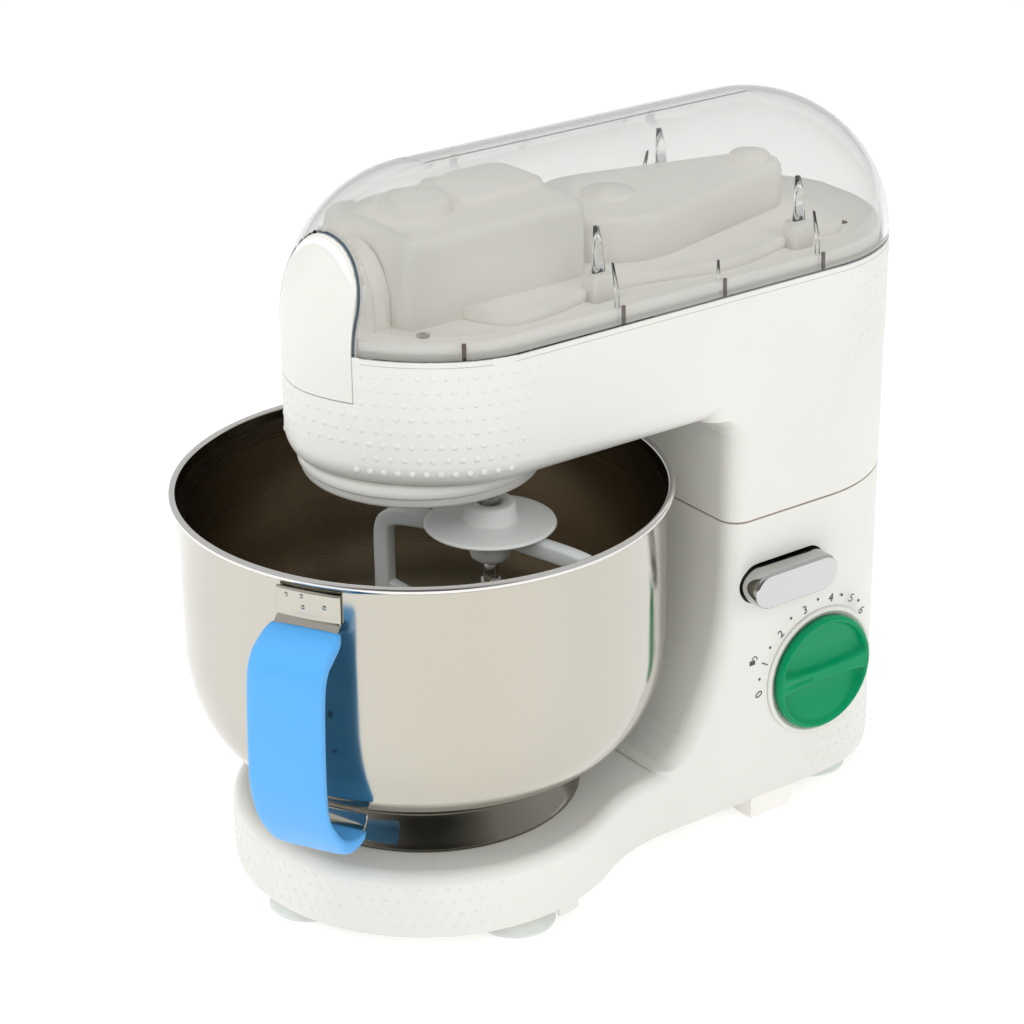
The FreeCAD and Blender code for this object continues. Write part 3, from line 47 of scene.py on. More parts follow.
COVER_RISE = 66.7  # how far the clear cover rises above it
ARCH_Z = 292  # centre of the front cap's arch
BOWL_RIM_Z = 194.5  # centre of the bowl's rolled rim


def at(x, y, z):
    """A point given in millimetres from the bowl axis, in the frame's metres."""
    return Vector((x * MM, (y + AXIS_Y) * MM, z * MM))


def shown(name, data):
    """A new object in the scene."""
    obj = bpy.data.objects.new(name, data)
    bpy.context.scene.collection.objects.link(obj)
    return obj


def circle(steps):
    """Cosine and sine of evenly spaced turns round a circle."""
    turns = [2 * math.pi * i / steps for i in range(steps)]
    return [(math.cos(turn), math.sin(turn)) for turn in turns]


def quarter(steps):
    """Cosine and sine of evenly spaced turns from 0 to 90 degrees."""
    turns = [math.radians(90) * i / steps for i in range(steps + 1)]
    return [(math.cos(turn), math.sin(turn)) for turn in turns]


# ---- camera, light

# The camera solved from the photograph: its turns in degrees, and how far the middle
# of the bowl's rim lies to its right, below it and ahead of it, in millimetres.
CAMERA_TURNS = (54.03, 24.43, 0.51)
RIM_FROM_CAMERA = (-40.36, -13.70, 1277.84)

# Name, place, target, width, height and power of each lamp.
LAMPS = [("key", (0.5, -1.4, 1.9), (0, 0, 0.15), 1.6, 1.4, 11),
         ("left", (-1.2, -1.3, 0.8), (0, 0, 0.15), 0.6, 1.2, 7),
         ("front", (1.35, -1.0, 1.1), (0, -0.03, 0.18), 0.9, 0.9, 9),
         ("right", (1.7, 0.7, 1.0), (0, 0, 0.2), 0.5, 1.2, 6),
         ("top", (0.1, 0.3, 1.9), (0, 0, 0.2), 1.0, 1.0, 7)]

# The surroundings darken towards DARK_WAY, which gives polished metal its contrast.
DARK_WAY = (0.78, -0.57, 0.25)
WORLD_STRENGTH = 0.66


def camera():
    yaw, pitch, roll = (math.radians(a) for a in CAMERA_TURNS)
    ahead = Vector((-math.sin(yaw) * math.cos(pitch), math.cos(yaw) * math.cos(pitch),
                    -math.sin(pitch)))
    right = Vector((math.cos(yaw), math.sin(yaw), 0))
    down = ahead.cross(right)
    right, down = (right * math.cos(roll) + down * math.sin(roll),
                   down * math.cos(roll) - right * math.sin(roll))
    to_right, below, away = RIM_FROM_CAMERA
    eye = at(0, 0, BOWL_RIM_Z) - (right * to_right + down * below + ahead * away) * MM
    data = bpy.data.cameras.new("camera")
    data.lens = 100
    data.sensor_width = 36
    data.clip_end = 50
    cam = shown("camera", data)
    turn = Matrix((right, -down, -ahead)).transposed().to_4x4()
    cam.matrix_world = Matrix.Translation(eye) @ turn
    bpy.context.scene.camera = cam


def area_light(name, place, target, width, height, power):
    """A lamp that lights the object but isn't seen in reflections or through plastic."""
    data = bpy.data.lights.new(name, "AREA")
    data.shape = "RECTANGLE"
    data.size = width
    data.size_y = height
    data.energy = power
    lamp = shown(name, data)
    lamp.location = place
    lamp.rotation_euler = (Vector(target) - Vector(place)).to_track_quat("-Z", "Y").to_euler()
    lamp.visible_glossy = False
    lamp.visible_transmission = False


def studio():
    world = bpy.data.worlds.new("studio")
    world.use_nodes = True
    bpy.context.scene.world = world
    tree = world.node_tree
    back = tree.nodes["Background"]
    coords = tree.nodes.new("ShaderNodeTexCoord")
    facing = tree.nodes.new("ShaderNodeVectorMath")
    facing.operation = "DOT_PRODUCT"
    facing.inputs[1].default_value = DARK_WAY
    tree.links.new(coords.outputs["Generated"], facing.inputs[0])
    ramp = tree.nodes.new("ShaderNodeValToRGB")
    ramp.color_ramp.elements[0].position = 0.62
    ramp.color_ramp.elements[0].color = (1, 1, 1, 1)
    ramp.color_ramp.elements[1].position = 0.97
    ramp.color_ramp.elements[1].color = (0.16, 0.155, 0.15, 1)
    tree.links.new(facing.outputs["Value"], ramp.inputs["Fac"])
    tree.links.new(ramp.outputs["Color"], back.inputs["Color"])
    back.inputs["Strength"].default_value = WORLD_STRENGTH
    bpy.context.scene.view_settings.view_transform = "Standard"
    for lamp in LAMPS:
        area_light(*lamp)


# ---- materials

NOISE_LOW, NOISE_HIGH = 0.27, 0.7  # the span that noise values really fill


class Maker:
    """Short ways to add shader nodes to one material."""

    def __init__(self, name, color, rough, **sockets):
        self.material = bpy.data.materials.new(name)
        self.material.use_nodes = True
        self.tree = self.material.node_tree
        self.shader = self.tree.nodes["Principled BSDF"]
        self.shader.inputs["Base Color"].default_value = (*color, 1)
        self.shader.inputs["Roughness"].default_value = rough
        for key, value in sockets.items():
            self.shader.inputs[key.replace("_", " ")].default_value = value
        self.coords = self.add("ShaderNodeTexCoord").outputs["Object"]
        self.material.diffuse_color = (*color, 1)

    def add(self, kind, **values):
        node = self.tree.nodes.new(kind)
        for key, value in values.items():
            if key in node.inputs:
                node.inputs[key].default_value = value
            else:
                setattr(node, key, value)
        return node

    def link(self, output, target):
        self.tree.links.new(output, target)

    def noise(self, scale, detail=3, stretch=None):
        node = self.add("ShaderNodeTexNoise", Scale=scale, Detail=detail)
        source = self.coords
        if stretch:
            mapping = self.add("ShaderNodeMapping", Scale=stretch)
            self.link(source, mapping.inputs["Vector"])
            source = mapping.outputs["Vector"]
        self.link(source, node.inputs["Vector"])
        return node.outputs["Fac"]

    def ranged(self, value, low, high):
        node = self.add("ShaderNodeMapRange")
        node.inputs["From Min"].default_value = NOISE_LOW
        node.inputs["From Max"].default_value = NOISE_HIGH
        node.inputs["To Min"].default_value = low
        node.inputs["To Max"].default_value = high
        self.link(value, node.inputs["Value"])
        return node.outputs["Result"]

    def blend(self, value, first, second, low=0.35, high=0.65):
        ramp = self.add("ShaderNodeValToRGB")
        ramp.color_ramp.elements[0].position = low
        ramp.color_ramp.elements[1].position = high
        ramp.color_ramp.elements[0].color = (*first, 1)
        ramp.color_ramp.elements[1].color = (*second, 1)
        self.link(value, ramp.inputs["Fac"])
        self.link(ramp.outputs["Color"], self.shader.inputs["Base Color"])

    def maths(self, operation, *values):
        node = self.add("ShaderNodeMath", operation=operation)
        for socket, value in zip(node.inputs, values):
            if isinstance(value, (int, float)):
                socket.default_value = value
            else:
                self.link(value, socket)
        return node.outputs["Value"]

    def uneven(self, value, low, high):
        """Lets the roughness wander between two values."""
        self.link(self.ranged(value, low, high), self.shader.inputs["Roughness"])

    def bump(self, value, strength, distance):
        node = self.add("ShaderNodeBump", Strength=strength, Distance=distance)
        self.link(value, node.inputs["Height"])
        self.link(node.outputs["Normal"], self.shader.inputs["Normal"])


def moulded(name, color, rough, grain=900, spread=0.06, shade=0.97, **sockets):
    """Injection-moulded plastic: fine grain, slightly uneven gloss and colour."""
    maker = Maker(name, color, rough, **sockets)
    maker.blend(maker.noise(14, 2), tuple(c * shade for c in color), color)
    maker.uneven(maker.noise(60, 4), rough - spread / 2, rough + spread / 2)
    maker.bump(maker.noise(grain, 2), 0.06, 0.0004)
    return maker.material


def metal(name, color, rough, stretch, scale, spread=0.08, turned=0.0, depth=0.05):
    """Bare metal with the fine lines of its finish running one way."""
    maker = Maker(name, color, rough, Metallic=1.0, Anisotropic=turned)
    lines = maker.noise(scale, 3, stretch)
    maker.blend(maker.noise(9, 2), tuple(c * 0.96 for c in color), color)
    maker.uneven(lines, rough - spread / 2, rough + spread / 2)
    maker.bump(lines, depth, 0.0002)
    return maker.material


def polished(name, light, dark, rough):
    """Polished sheet steel with painted reflections: its tone rises and falls three times round
    the wall.
    """
    maker = Maker(name, light, rough, Metallic=1.0)
    split = maker.add("ShaderNodeSeparateXYZ")
    maker.link(maker.coords, split.inputs["Vector"])
    y = maker.maths("ADD", split.outputs["Y"], -AXIS_Y * MM)
    turn = maker.maths("ARCTAN2", y, split.outputs["X"])
    painted_bands = maker.maths("SINE", maker.maths("MULTIPLY", turn, 3))
    level = maker.add("ShaderNodeMapRange")
    level.inputs["From Min"].default_value = -1.0
    maker.link(painted_bands, level.inputs["Value"])
    maker.blend(level.outputs["Result"], dark, light, 0.0, 0.9)
    maker.uneven(maker.noise(30, 3), rough - 0.02, rough + 0.02)
    return maker.material


def clear(name, color, rough, ior=1.5):
    """Clear moulded plastic with the faintest ripple; its shadows are only tinted."""
    maker = Maker(name, color, rough, IOR=ior, Transmission_Weight=1.0)
    path = maker.add("ShaderNodeLightPath")
    through = maker.add("ShaderNodeBsdfTransparent", Color=(*color, 1))
    mix = maker.add("ShaderNodeMixShader")
    maker.link(path.outputs["Is Shadow Ray"], mix.inputs["Fac"])
    maker.link(maker.shader.outputs["BSDF"], mix.inputs[1])
    maker.link(through.outputs["BSDF"], mix.inputs[2])
    maker.link(mix.outputs["Shader"], maker.tree.nodes["Material Output"].inputs["Surface"])
    maker.uneven(maker.noise(30, 3), rough, rough + 0.03)
    maker.bump(maker.noise(18, 1), 0.02, 0.0005)
    return maker.material


WHITE = moulded("white_plastic", (0.745, 0.742, 0.70), 0.34)
# White plastic of the inside parts, drawn lighter than WHITE to make up for the clear cover's
# shadow: painted light.
INNER_PAINTED_LIGHT = moulded("inner_white", (0.90, 0.885, 0.84), 0.5)
BLUE = moulded("blue_grip", (0.09, 0.40, 0.84), 0.42, grain=1400)
# Painted shade: dark flat discs stand for the grip's holes.
GRIP_HOLE_PAINTED_SHADE = moulded("grip_hole_shade", (0.02, 0.07, 0.22), 0.6)
GREEN = moulded("green_knob", (0.001, 0.27, 0.105), 0.24, Specular_IOR_Level=0.15)
CHROME = metal("chrome", (0.56, 0.565, 0.56), 0.06, (1, 1, 1), 40, 0.03)
# Painted reflection: the bowl's outside, strap and welds darken and lighten in bands round the
# bowl's axis.
STEEL_OUT = polished("bowl_outside", (0.50, 0.48, 0.43), (0.47, 0.445, 0.38), 0.11)
# The foot ring is the bowl's own steel drawn much darker, with bands: painted dark reflection.
FOOT_RING_PAINTED_REFLECTION = polished("foot_ring_painted_reflection", (0.27, 0.25, 0.215), (0.13, 0.12, 0.095), 0.1)
# Brushed steel inside the bowl; its lines are real, its darker and browner tone than the outside
# steel is painted shade.
STEEL_IN_PAINTED_SHADE = metal("bowl_inside_painted_shade", (0.44, 0.39, 0.31), 0.25, (0.1, 0.1, 110), 12, 0.06, 0.4, 0.012)
# The rolled rim is the bowl's own steel drawn much brighter: painted highlight.
RIM_PAINTED_HIGHLIGHT = metal("bowl_rim_painted_highlight", (0.72, 0.71, 0.69), 0.07, (1, 1, 1), 40, 0.03)
STEEL = metal("plain_steel", (0.62, 0.61, 0.60), 0.25, (1, 1, 20), 40)
BEATER = moulded("beater_coating", (0.70, 0.73, 0.72), 0.38)
# Light grey plastic, its colour raised to make up for the shade under the head: partly its own
# colour, partly painted light.
SPLASH_PAINTED_LIGHT = moulded("splash_plastic", (0.84, 0.86, 0.84), 0.34)
RUBBER = moulded("foot_rubber", (0.76, 0.79, 0.76), 0.45, Subsurface_Weight=0.2)
NYLON = moulded("gear_nylon", (0.70, 0.68, 0.58), 0.4)
DARK = moulded("dark_plastic", (0.03, 0.03, 0.03), 0.4)
BOARD = moulded("circuit_board", (0.02, 0.12, 0.05), 0.45)
BELT = moulded("belt_rubber", (0.015, 0.015, 0.015), 0.6)
COPPER = metal("motor_stack", (0.35, 0.22, 0.14), 0.45, (1, 1, 120), 20)
CAST = metal("cast_aluminium", (0.68, 0.69, 0.70), 0.42, (1, 1, 1), 120)
CLEAR = clear("clear_cover", (0.90, 0.90, 0.89), 0.01)
CLEAR_RIB = clear("clear_rib", (0.97, 0.985, 0.99), 0.02, 1.45)
# Painted shadow: grey lines along the foot of the clear cover and under its lip.
TRIM_PAINTED_SHADOW = moulded("trim_shadow", (0.30, 0.30, 0.31), 0.5)
LIP_PAINTED_SHADOW = moulded("lip_shadow", (0.36, 0.36, 0.36), 0.5)
# Painted shade: the dark line where the front cap meets the clear cover.
CAP_EDGE_PAINTED_SHADE = moulded("cover_edge_painted_shade", (0.10, 0.14, 0.19), 0.2)
# Painted shade: dark slots and holes between the white inside parts.
GAP_PAINTED_SHADE = moulded("rib_gap_painted_shade", (0.10, 0.075, 0.05), 0.6)
# Painted shade: the dark band in the column's seam.
SEAM_PAINTED_SHADE = moulded("seam_painted_shade", (0.34, 0.26, 0.17), 0.6)
INK = moulded("dial_ink", (0.06, 0.06, 0.06), 0.5)

FINISHES = {
    WHITE: ["lower_housing", "head_shell", "front_cap", "planet_hub", "dial_bezel"],
    INNER_PAINTED_LIGHT: ["bottom_cover", "column_deck", "inner_tray", "gear_tower", "belt_cover",
            "outlet_frame", "bowl_seat", "button_guide", "cord_inlet"],
    CLEAR: ["clear_cover"],
    RUBBER: ["suction_feet"],
    STEEL: ["foot_screws", "housing_screws", "seat_screws", "tray_screws", "hinge_bracket",
            "hinge_pin", "latch_bolt", "latch_keeper", "button_spring", "dial_shaft",
            "planet_shaft", "beater_shaft", "beater_pin", "motor_shaft", "outlet_shaft",
            "ring_gear", "beater_pinion", "pulley_shaft"],
    CHROME: ["release_button"],
    GREEN: ["speed_dial"],
    DARK: ["speed_switch", "cooling_fan"],
    BOARD: ["control_board"],
    STEEL_OUT: ["bowl", "bowl_foot_ring", "handle_strap"],
    BLUE: ["handle_grip"],
    BELT: ["drive_belt"],
    CAST: ["gear_plate", "motor_plate", "motor_pulley"],
    COPPER: ["motor_stator", "motor_rotor"],
    NYLON: ["main_gear", "cluster_gear", "large_pulley"],
    SPLASH_PAINTED_LIGHT: ["splash_disc"],
    BEATER: ["flat_beater"],
}
for finish, names in FINISHES.items():
    for name in names:
        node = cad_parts[name]
        node.data.materials.clear()
        node.data.materials.append(finish)


# ---- mesh building

def piece(name, points, faces, body, finish, smooth=True, slot=None, replaces=None):
    """A new mesh object that rides on one body."""
    data = bpy.data.meshes.new(name)
    data.from_pydata([tuple(p) for p in points], [], faces)
    finishes = finish if isinstance(finish, list) else [finish]
    for item in finishes:
        data.materials.append(item)
    if smooth:
        data.polygons.foreach_set("use_smooth", [True] * len(data.polygons))
    data.validate()
    data.update()
    tidy = bmesh.new()
    tidy.from_mesh(data)
    bmesh.ops.recalc_face_normals(tidy, faces=tidy.faces)
    tidy.to_mesh(data)
    tidy.free()
    obj = shown(name, data)
    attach(obj, body)
    if replaces:
        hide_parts(replaces)
    return obj


def bevelled(obj, width):
    """Rounds the hard edges of a piece and keeps its flats flat."""
    bevel = obj.modifiers.new("edge", "BEVEL")
    bevel.width = width * MM
    bevel.segments = 3
    bevel.limit_method = "ANGLE"
    bevel.angle_limit = math.radians(35)
    bevel.harden_normals = True


def grid_faces(rows, columns):
    """The side faces of a tube: rows of points, joined all the way round."""
    faces = []
    for i in range(rows - 1):
        for j in range(columns):
            k = (j + 1) % columns
            faces.append((i * columns + j, i * columns + k, (i + 1) * columns + k,
                          (i + 1) * columns + j))
    return faces


def tube_faces(rows, columns):
    """The faces of a closed tube with both its ends."""
    last = (rows - 1) * columns
    return grid_faces(rows, columns) + [tuple(range(columns)),
                                        tuple(last + i for i in range(columns))]


def lathe(name, profile, body, finish, centre=(0, 0), steps=128, axis="z", **more):
    """Turns a closed (radius, height) profile round a z or x axis through centre."""
    points = []
    count = len(profile)
    for c, s in circle(steps):
        for radius, height in profile:
            across, along = radius * c, radius * s
            if axis == "z":
                points.append(at(centre[0] + across, centre[1] + along, height))
            else:
                points.append(at(height, centre[0] + across, centre[1] + along))
    faces = []
    for i in range(steps):
        nxt = (i + 1) % steps
        for j in range(count):
            k = (j + 1) % count
            if profile[j][0] == 0 and profile[k][0] == 0:
                continue
            faces.append((i * count + j, nxt * count + j, nxt * count + k, i * count + k))
    obj = piece(name, points, faces, body, finish, **more)
    merge = bmesh.new()
    merge.from_mesh(obj.data)
    bmesh.ops.remove_doubles(merge, verts=merge.verts, dist=1e-6)
    merge.to_mesh(obj.data)
    merge.free()
    return obj


def smooth_path(points, count):
    """Evenly spaced points along a smooth curve through the given (x, y) points."""
    dense = []
    padded = [points[0]] + points + [points[-1]]
    for a, b, c, d in zip(padded, padded[1:], padded[2:], padded[3:]):
        for i in range(16):
            t = i / 16
            dense.append(tuple(
                0.5 * (2 * q + (r - p) * t + (2 * p - 5 * q + 4 * r - s) * t * t
                       + (3 * q - p - 3 * r + s) * t ** 3)
                for p, q, r, s in zip(a, b, c, d)))
    dense.append(tuple(points[-1]))
    lengths = [0]
    for a, b in zip(dense, dense[1:]):
        lengths.append(lengths[-1] + math.dist(a, b))
    result = []
    k = 0
    for i in range(count):
        goal = lengths[-1] * i / (count - 1)
        while k < len(lengths) - 2 and lengths[k + 1] < goal:
            k += 1
        span = lengths[k + 1] - lengths[k]
        t = 0 if span == 0 else (goal - lengths[k]) / span
        result.append(tuple(u + (v - u) * t for u, v in zip(dense[k], dense[k + 1])))
    return result


def path_way(path, i):
    """The direction square to a path at one of its points."""
    before = path[max(i - 1, 0)]
    after = path[min(i + 1, len(path) - 1)]
    length = math.dist(before, after)
    return (after[1] - before[1]) / length, (before[0] - after[0]) / length


def power_ring(half_width, half_height, power, steps):
    """A rounded rectangle: points of a superellipse."""
    ring = []
    for c, s in circle(steps):
        ring.append((math.copysign(abs(c) ** (2 / power), c) * half_width,
                     math.copysign(abs(s) ** (2 / power), s) * half_height))
    return ring


# ---- bowl

def bowl_curve(inset):
    """The bowl's outer (inset 0) or inner wall, from the middle of its bottom up."""
    bottom, shoulder = 69, 128
    flat, swell, power = 68, 42.5, 2 / 2.3
    points = [(0, bottom + inset), (40, bottom + inset)]
    for i in range(25):
        turn = math.radians(90 * i / 24)
        points.append((flat + (swell - inset) * math.sin(turn) ** power,
                       shoulder - (shoulder - bottom - inset) * math.cos(turn) ** power))
    return points


def bowl():
    """The bowl's shell in three finishes: outside with painted reflection bands, brushed inside
    with painted shade, and rolled rim with a painted highlight.
    """
    outer = bowl_curve(0)
    inner = bowl_curve(1)
    roll = []
    roll_radius = 1.7
    for i in range(17):
        turn = math.radians(-128 + 320 * i / 16)
        roll.append((112 + roll_radius * math.cos(turn),
                     BOWL_RIM_Z + roll_radius * math.sin(turn)))
    outside = outer + [(110.5, 160), (110.5, 191)] + roll
    inside = [(109.5, 191), (109.5, 160)] + inner[::-1]
    profile = outside + inside
    obj = lathe("bowl_shell", profile, "bowl_group", [STEEL_OUT, STEEL_IN_PAINTED_SHADE, RIM_PAINTED_HIGHLIGHT], steps=192,
                replaces="bowl")
    for face in obj.data.polygons:
        middle = face.center
        radius = math.hypot(middle.x, middle.y - AXIS_Y * MM) / MM
        high = middle.z / MM
        towards = face.normal.x * middle.x + face.normal.y * (middle.y - AXIS_Y * MM)
        inner_side = (towards < 0 and high < 193) or (high < 80 and face.normal.z > 0.5)
        if inner_side and radius < 109.9:
            face.material_index = 1
        # The rim's faces take the painted highlight.
        if high > 192.4:
            face.material_index = 2


def foot_ring():
    profile = [(70.2, 44), (71.2, 44.2), (71, 45.4), (69.6, 47.6), (66.6, 52.6), (64.4, 57),
               (63.3, 61.5), (63, 68.8), (61.8, 68.8), (62.2, 61.5), (63.2, 57), (65.4, 52.2),
               (68.4, 47.2), (69.8, 45.2)]
    # Painted dark reflection: the ring's steel is drawn much darker than the bowl's.
    lathe("foot_ring", profile, "bowl_group", FOOT_RING_PAINTED_REFLECTION, steps=160,
          replaces="bowl_foot_ring")
    tabs = []
    faces = []
    for middle in (30, 150, 270):
        base = len(tabs)
        for height in (45, 46.4):
            for radius in (60, 69):
                for i in range(9):
                    turn = math.radians(middle - 10 + 20 * i / 8)
                    tabs.append(at(radius * math.cos(turn), radius * math.sin(turn), height))
        for i in range(8):
            a, b, c, d = (base + 9 * k + i for k in range(4))
            faces += [(a, a + 1, b + 1, b), (c, c + 1, d + 1, d), (a, a + 1, c + 1, c),
                      (b, b + 1, d + 1, d)]
        for i in (0, 8):
            faces.append(tuple(base + 9 * k + i for k in (0, 1, 3, 2)))
    piece("foot_ring_tabs", tabs, faces, "bowl_group", STEEL, smooth=False, slot="bowl_steel")


# ---- handle

GRIP_OUTER = [(114.2, 175.4), (119.5, 174), (126.5, 172), (133, 168.2), (137, 159.6),
              (139, 137), (139.6, 118), (138.8, 105), (132, 87), (122.5, 73.5), (115, 67.4),
              (106, 66.1), (97.4, 67.8)]
GRIP_INNER = [(114, 169.8), (118, 166.8), (122.5, 164), (127.5, 160.4), (130.2, 152),
              (131.4, 137), (132, 118), (131.8, 106), (131, 95), (126, 86.6), (117.5, 77.5),
              (108, 72.8), (97.4, 70.6)]
HANDLE_TURN = math.radians(-60)
WALL_CURVE = 230  # side * side / WALL_CURVE is how far the bowl's wall falls away


def handle_point(radius, side, height):
    """A point in the handle's own plane: out from the bowl, sideways, up."""
    return at(radius * math.cos(HANDLE_TURN) - side * math.sin(HANDLE_TURN),
              radius * math.sin(HANDLE_TURN) + side * math.cos(HANDLE_TURN), height)


def grip():
    """The soft grip, with the three moulded holes on its inner side drawn as flat dark discs of
    painted shade.
    """
    stations = 72
    ring_steps = 40
    outer = smooth_path(GRIP_OUTER, stations)
    inner = smooth_path(GRIP_INNER, stations)
    points = []
    for i in range(stations):
        (x0, z0), (x1, z1) = outer[i], inner[i]
        middle = ((x0 + x1) / 2, (z0 + z1) / 2)
        thick = math.dist((x0, z0), (x1, z1)) / 2
        way = ((x0 - x1) / (2 * thick), (z0 - z1) / (2 * thick))
        end = min(i, stations - 1 - i)
        shrink = (0.80, 0.92, 0.98)[end] if end < 3 else 1
        for side, out in power_ring(17.5 - (1 - shrink) * 6, thick * shrink, 5.5, ring_steps):
            points.append(handle_point(middle[0] + way[0] * out, side,
                                       middle[1] + way[1] * out))
    piece("grip", points, tube_faces(stations, ring_steps), "bowl_group", BLUE,
          replaces="handle_grip")
    holes = []
    faces = []
    for radius, height in ((130.95, 143), (131.95, 120), (131, 95)):
        base = len(holes)
        for k in range(20):
            turn = math.radians(18 * k)
            holes.append(handle_point(radius - 0.45, 1.7 * math.cos(turn),
                                      height + 1.7 * math.sin(turn)))
        faces.append(tuple(base + k for k in range(20)))
    piece("grip_holes", holes, faces, "bowl_group", GRIP_HOLE_PAINTED_SHADE)


def strap():
    """The steel strap above and below the grip, and the four spot welds on it."""
    upper = [(111.9, 190), (111.9, 180.5), (112.4, 176.4), (115, 173.6), (119, 170.6)]
    lower = [(99, 69.1), (96, 70), (93.6, 72.2), (92.4, 75.6)]
    for name, line, count in (("strap_top", upper, 24), ("strap_foot", lower, 12)):
        path = smooth_path(line, count)
        points = []
        ring = power_ring(15, 0.8, 8, 24)
        for i, (radius, height) in enumerate(path):
            way = path_way(path, i)
            for side, out in ring:
                sag = side * side / WALL_CURVE if height > 176 else 0
                points.append(handle_point(radius + way[0] * out - sag, side,
                                           height + way[1] * out))
        piece(name, points, tube_faces(count, len(ring)), "bowl_group", STEEL_OUT,
              replaces="handle_strap" if name == "strap_top" else None)
    for i, (side, height) in enumerate(((-10, 187), (-2.5, 187.6), (8, 184), (-2, 182.6))):
        dome = []
        rings = [(0.05, 0.7), (0.6, 0.5), (0.95, 0.15), (1.1, -0.2)]
        for radius, out in rings:
            for c, s in circle(16):
                across = side + radius * c
                dome.append(handle_point(112.7 + out * 0.5 - across * across / WALL_CURVE,
                                         across, height + radius * s))
        piece(f"weld_{i}", dome, grid_faces(4, 16), "bowl_group", STEEL_OUT)


# ---- dial

DIAL_Y = 182.5
DIAL_Z = 70.5
DIAL_RADIUS = 29.2
DIAL_FACE = 73.8
MARK_X = 68.62  # face of the printed marks, just proud of the column's side
MARK_FOOT = 68.4  # their foot, inside the side
DOT_RING = 38.5
PADLOCK_RING = 46


def unit(value):
    return min(max(value, 0), 1)


def ease(value):
    return value * value * (3 - 2 * value)


def dial():
    """Knob with a rim, two lens-shaped scoops and a waisted bar across its middle."""
    rings = 40
    steps = 144
    points = []
    for i in range(rings + 1):
        radius = DIAL_RADIUS * i / rings
        for c, s in circle(steps):
            across, up = radius * c, radius * s
            bar = 2.75 + 1.7 * (abs(across) / 27) ** 3
            edge = unit((abs(up) - bar) / 1.9)
            rim = unit((26.9 - radius) / 1.7)
            deep = 3.9 * (0.45 + 0.55 * math.exp(-((abs(up) - 9) / 11) ** 2))
            sink = deep * ease(edge) * ease(rim)
            slot_end = min(max(abs(across + 17) - 7, 0), 3)
            slot_off = math.hypot(slot_end, up)
            groove = 0.7 * unit((1.25 - slot_off) / 0.35)
            fall = 1.6 * max((radius - 27.6) / 1.6, 0) ** 2
            points.append(at(DIAL_FACE - sink - groove - fall, DIAL_Y + across, DIAL_Z + up))
    for depth, radius in ((71.6, DIAL_RADIUS), (69.5, DIAL_RADIUS), (69.4, 12), (69.4, 0.1)):
        points += [at(depth, DIAL_Y + radius * c, DIAL_Z + radius * s) for c, s in circle(steps)]
    faces = grid_faces(rings + 5, steps)
    piece("dial_knob", points, faces, "dial", GREEN, replaces="speed_dial")


def bezel():
    profile = [(31.0, 68.6), (33, 68.6), (32.9, 69.3), (32.3, 69.9), (31.3, 70.0),
               (30.6, 69.8), (30.3, 69.2), (8, 69.1), (5, 69.1), (5, 64), (7.6, 64), (7.6, 68.6)]
    lathe("bezel", profile, "base", WHITE, centre=(DIAL_Y, DIAL_Z), axis="x", steps=144,
          replaces="dial_bezel")


MARKS = [("0", 144.6, 69.2), ("1", 147.8, 84.3), ("2", 157.3, 97.3), ("3", 172.1, 105.6),
         ("4", 188.6, 107.1), ("5", 201.7, 103.2), ("6", 208.7, 94.7)]


def dial_marks():
    """The printed numbers, the dots between them and the padlock."""
    for text, y, z in MARKS:
        curve = bpy.data.curves.new(f"mark_{text}", "FONT")
        curve.body = text
        curve.size = 6.2 * MM
        curve.extrude = 0.06 * MM
        curve.align_x = "CENTER"
        curve.align_y = "CENTER"
        text_obj = shown(f"mark_text_{text}", curve)
        bpy.context.view_layer.update()
        data = bpy.data.meshes.new_from_object(text_obj)
        bpy.data.objects.remove(text_obj)
        lean = math.atan2(z - DIAL_Z, y - DIAL_Y) - math.pi / 2
        turn = Matrix(((0, 0, 1), (1, 0, 0), (0, 1, 0))).to_4x4()
        data.transform(Matrix.Translation(at(MARK_X, y, z)) @ turn
                       @ Matrix.Rotation(lean * 0.9, 4, "Z"))
        data.materials.clear()
        data.materials.append(INK)
        obj = shown(f"mark_{text}", data)
        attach(obj, "base")
    angles = [math.degrees(math.atan2(z - DIAL_Z, y - DIAL_Y)) % 360 for _, y, z in MARKS]
    for i, (a, b) in enumerate(zip(angles, angles[1:])):
        turn = math.radians((a + b) / 2)
        if i == 0:
            padlock(math.radians(b))
        dot(i, DIAL_Y + DOT_RING * math.cos(turn), DIAL_Z + DOT_RING * math.sin(turn))


def dot(number, y, z):
    """A printed round dot: a middle point and two rings of 18."""
    radius = 0.75
    points = [at(MARK_X, y, z)]
    for x in (MARK_X, MARK_FOOT):
        points += [at(x, y + radius * math.cos(math.radians(20 * k)),
                      z + radius * math.sin(math.radians(20 * k))) for k in range(18)]
    faces = [(0, 1 + k, 1 + (k + 1) % 18) for k in range(18)]
    faces += [(1 + k, 1 + (k + 1) % 18, 19 + (k + 1) % 18, 19 + k) for k in range(18)]
    piece(f"mark_dot_{number}", points, faces, "base", INK, smooth=False)


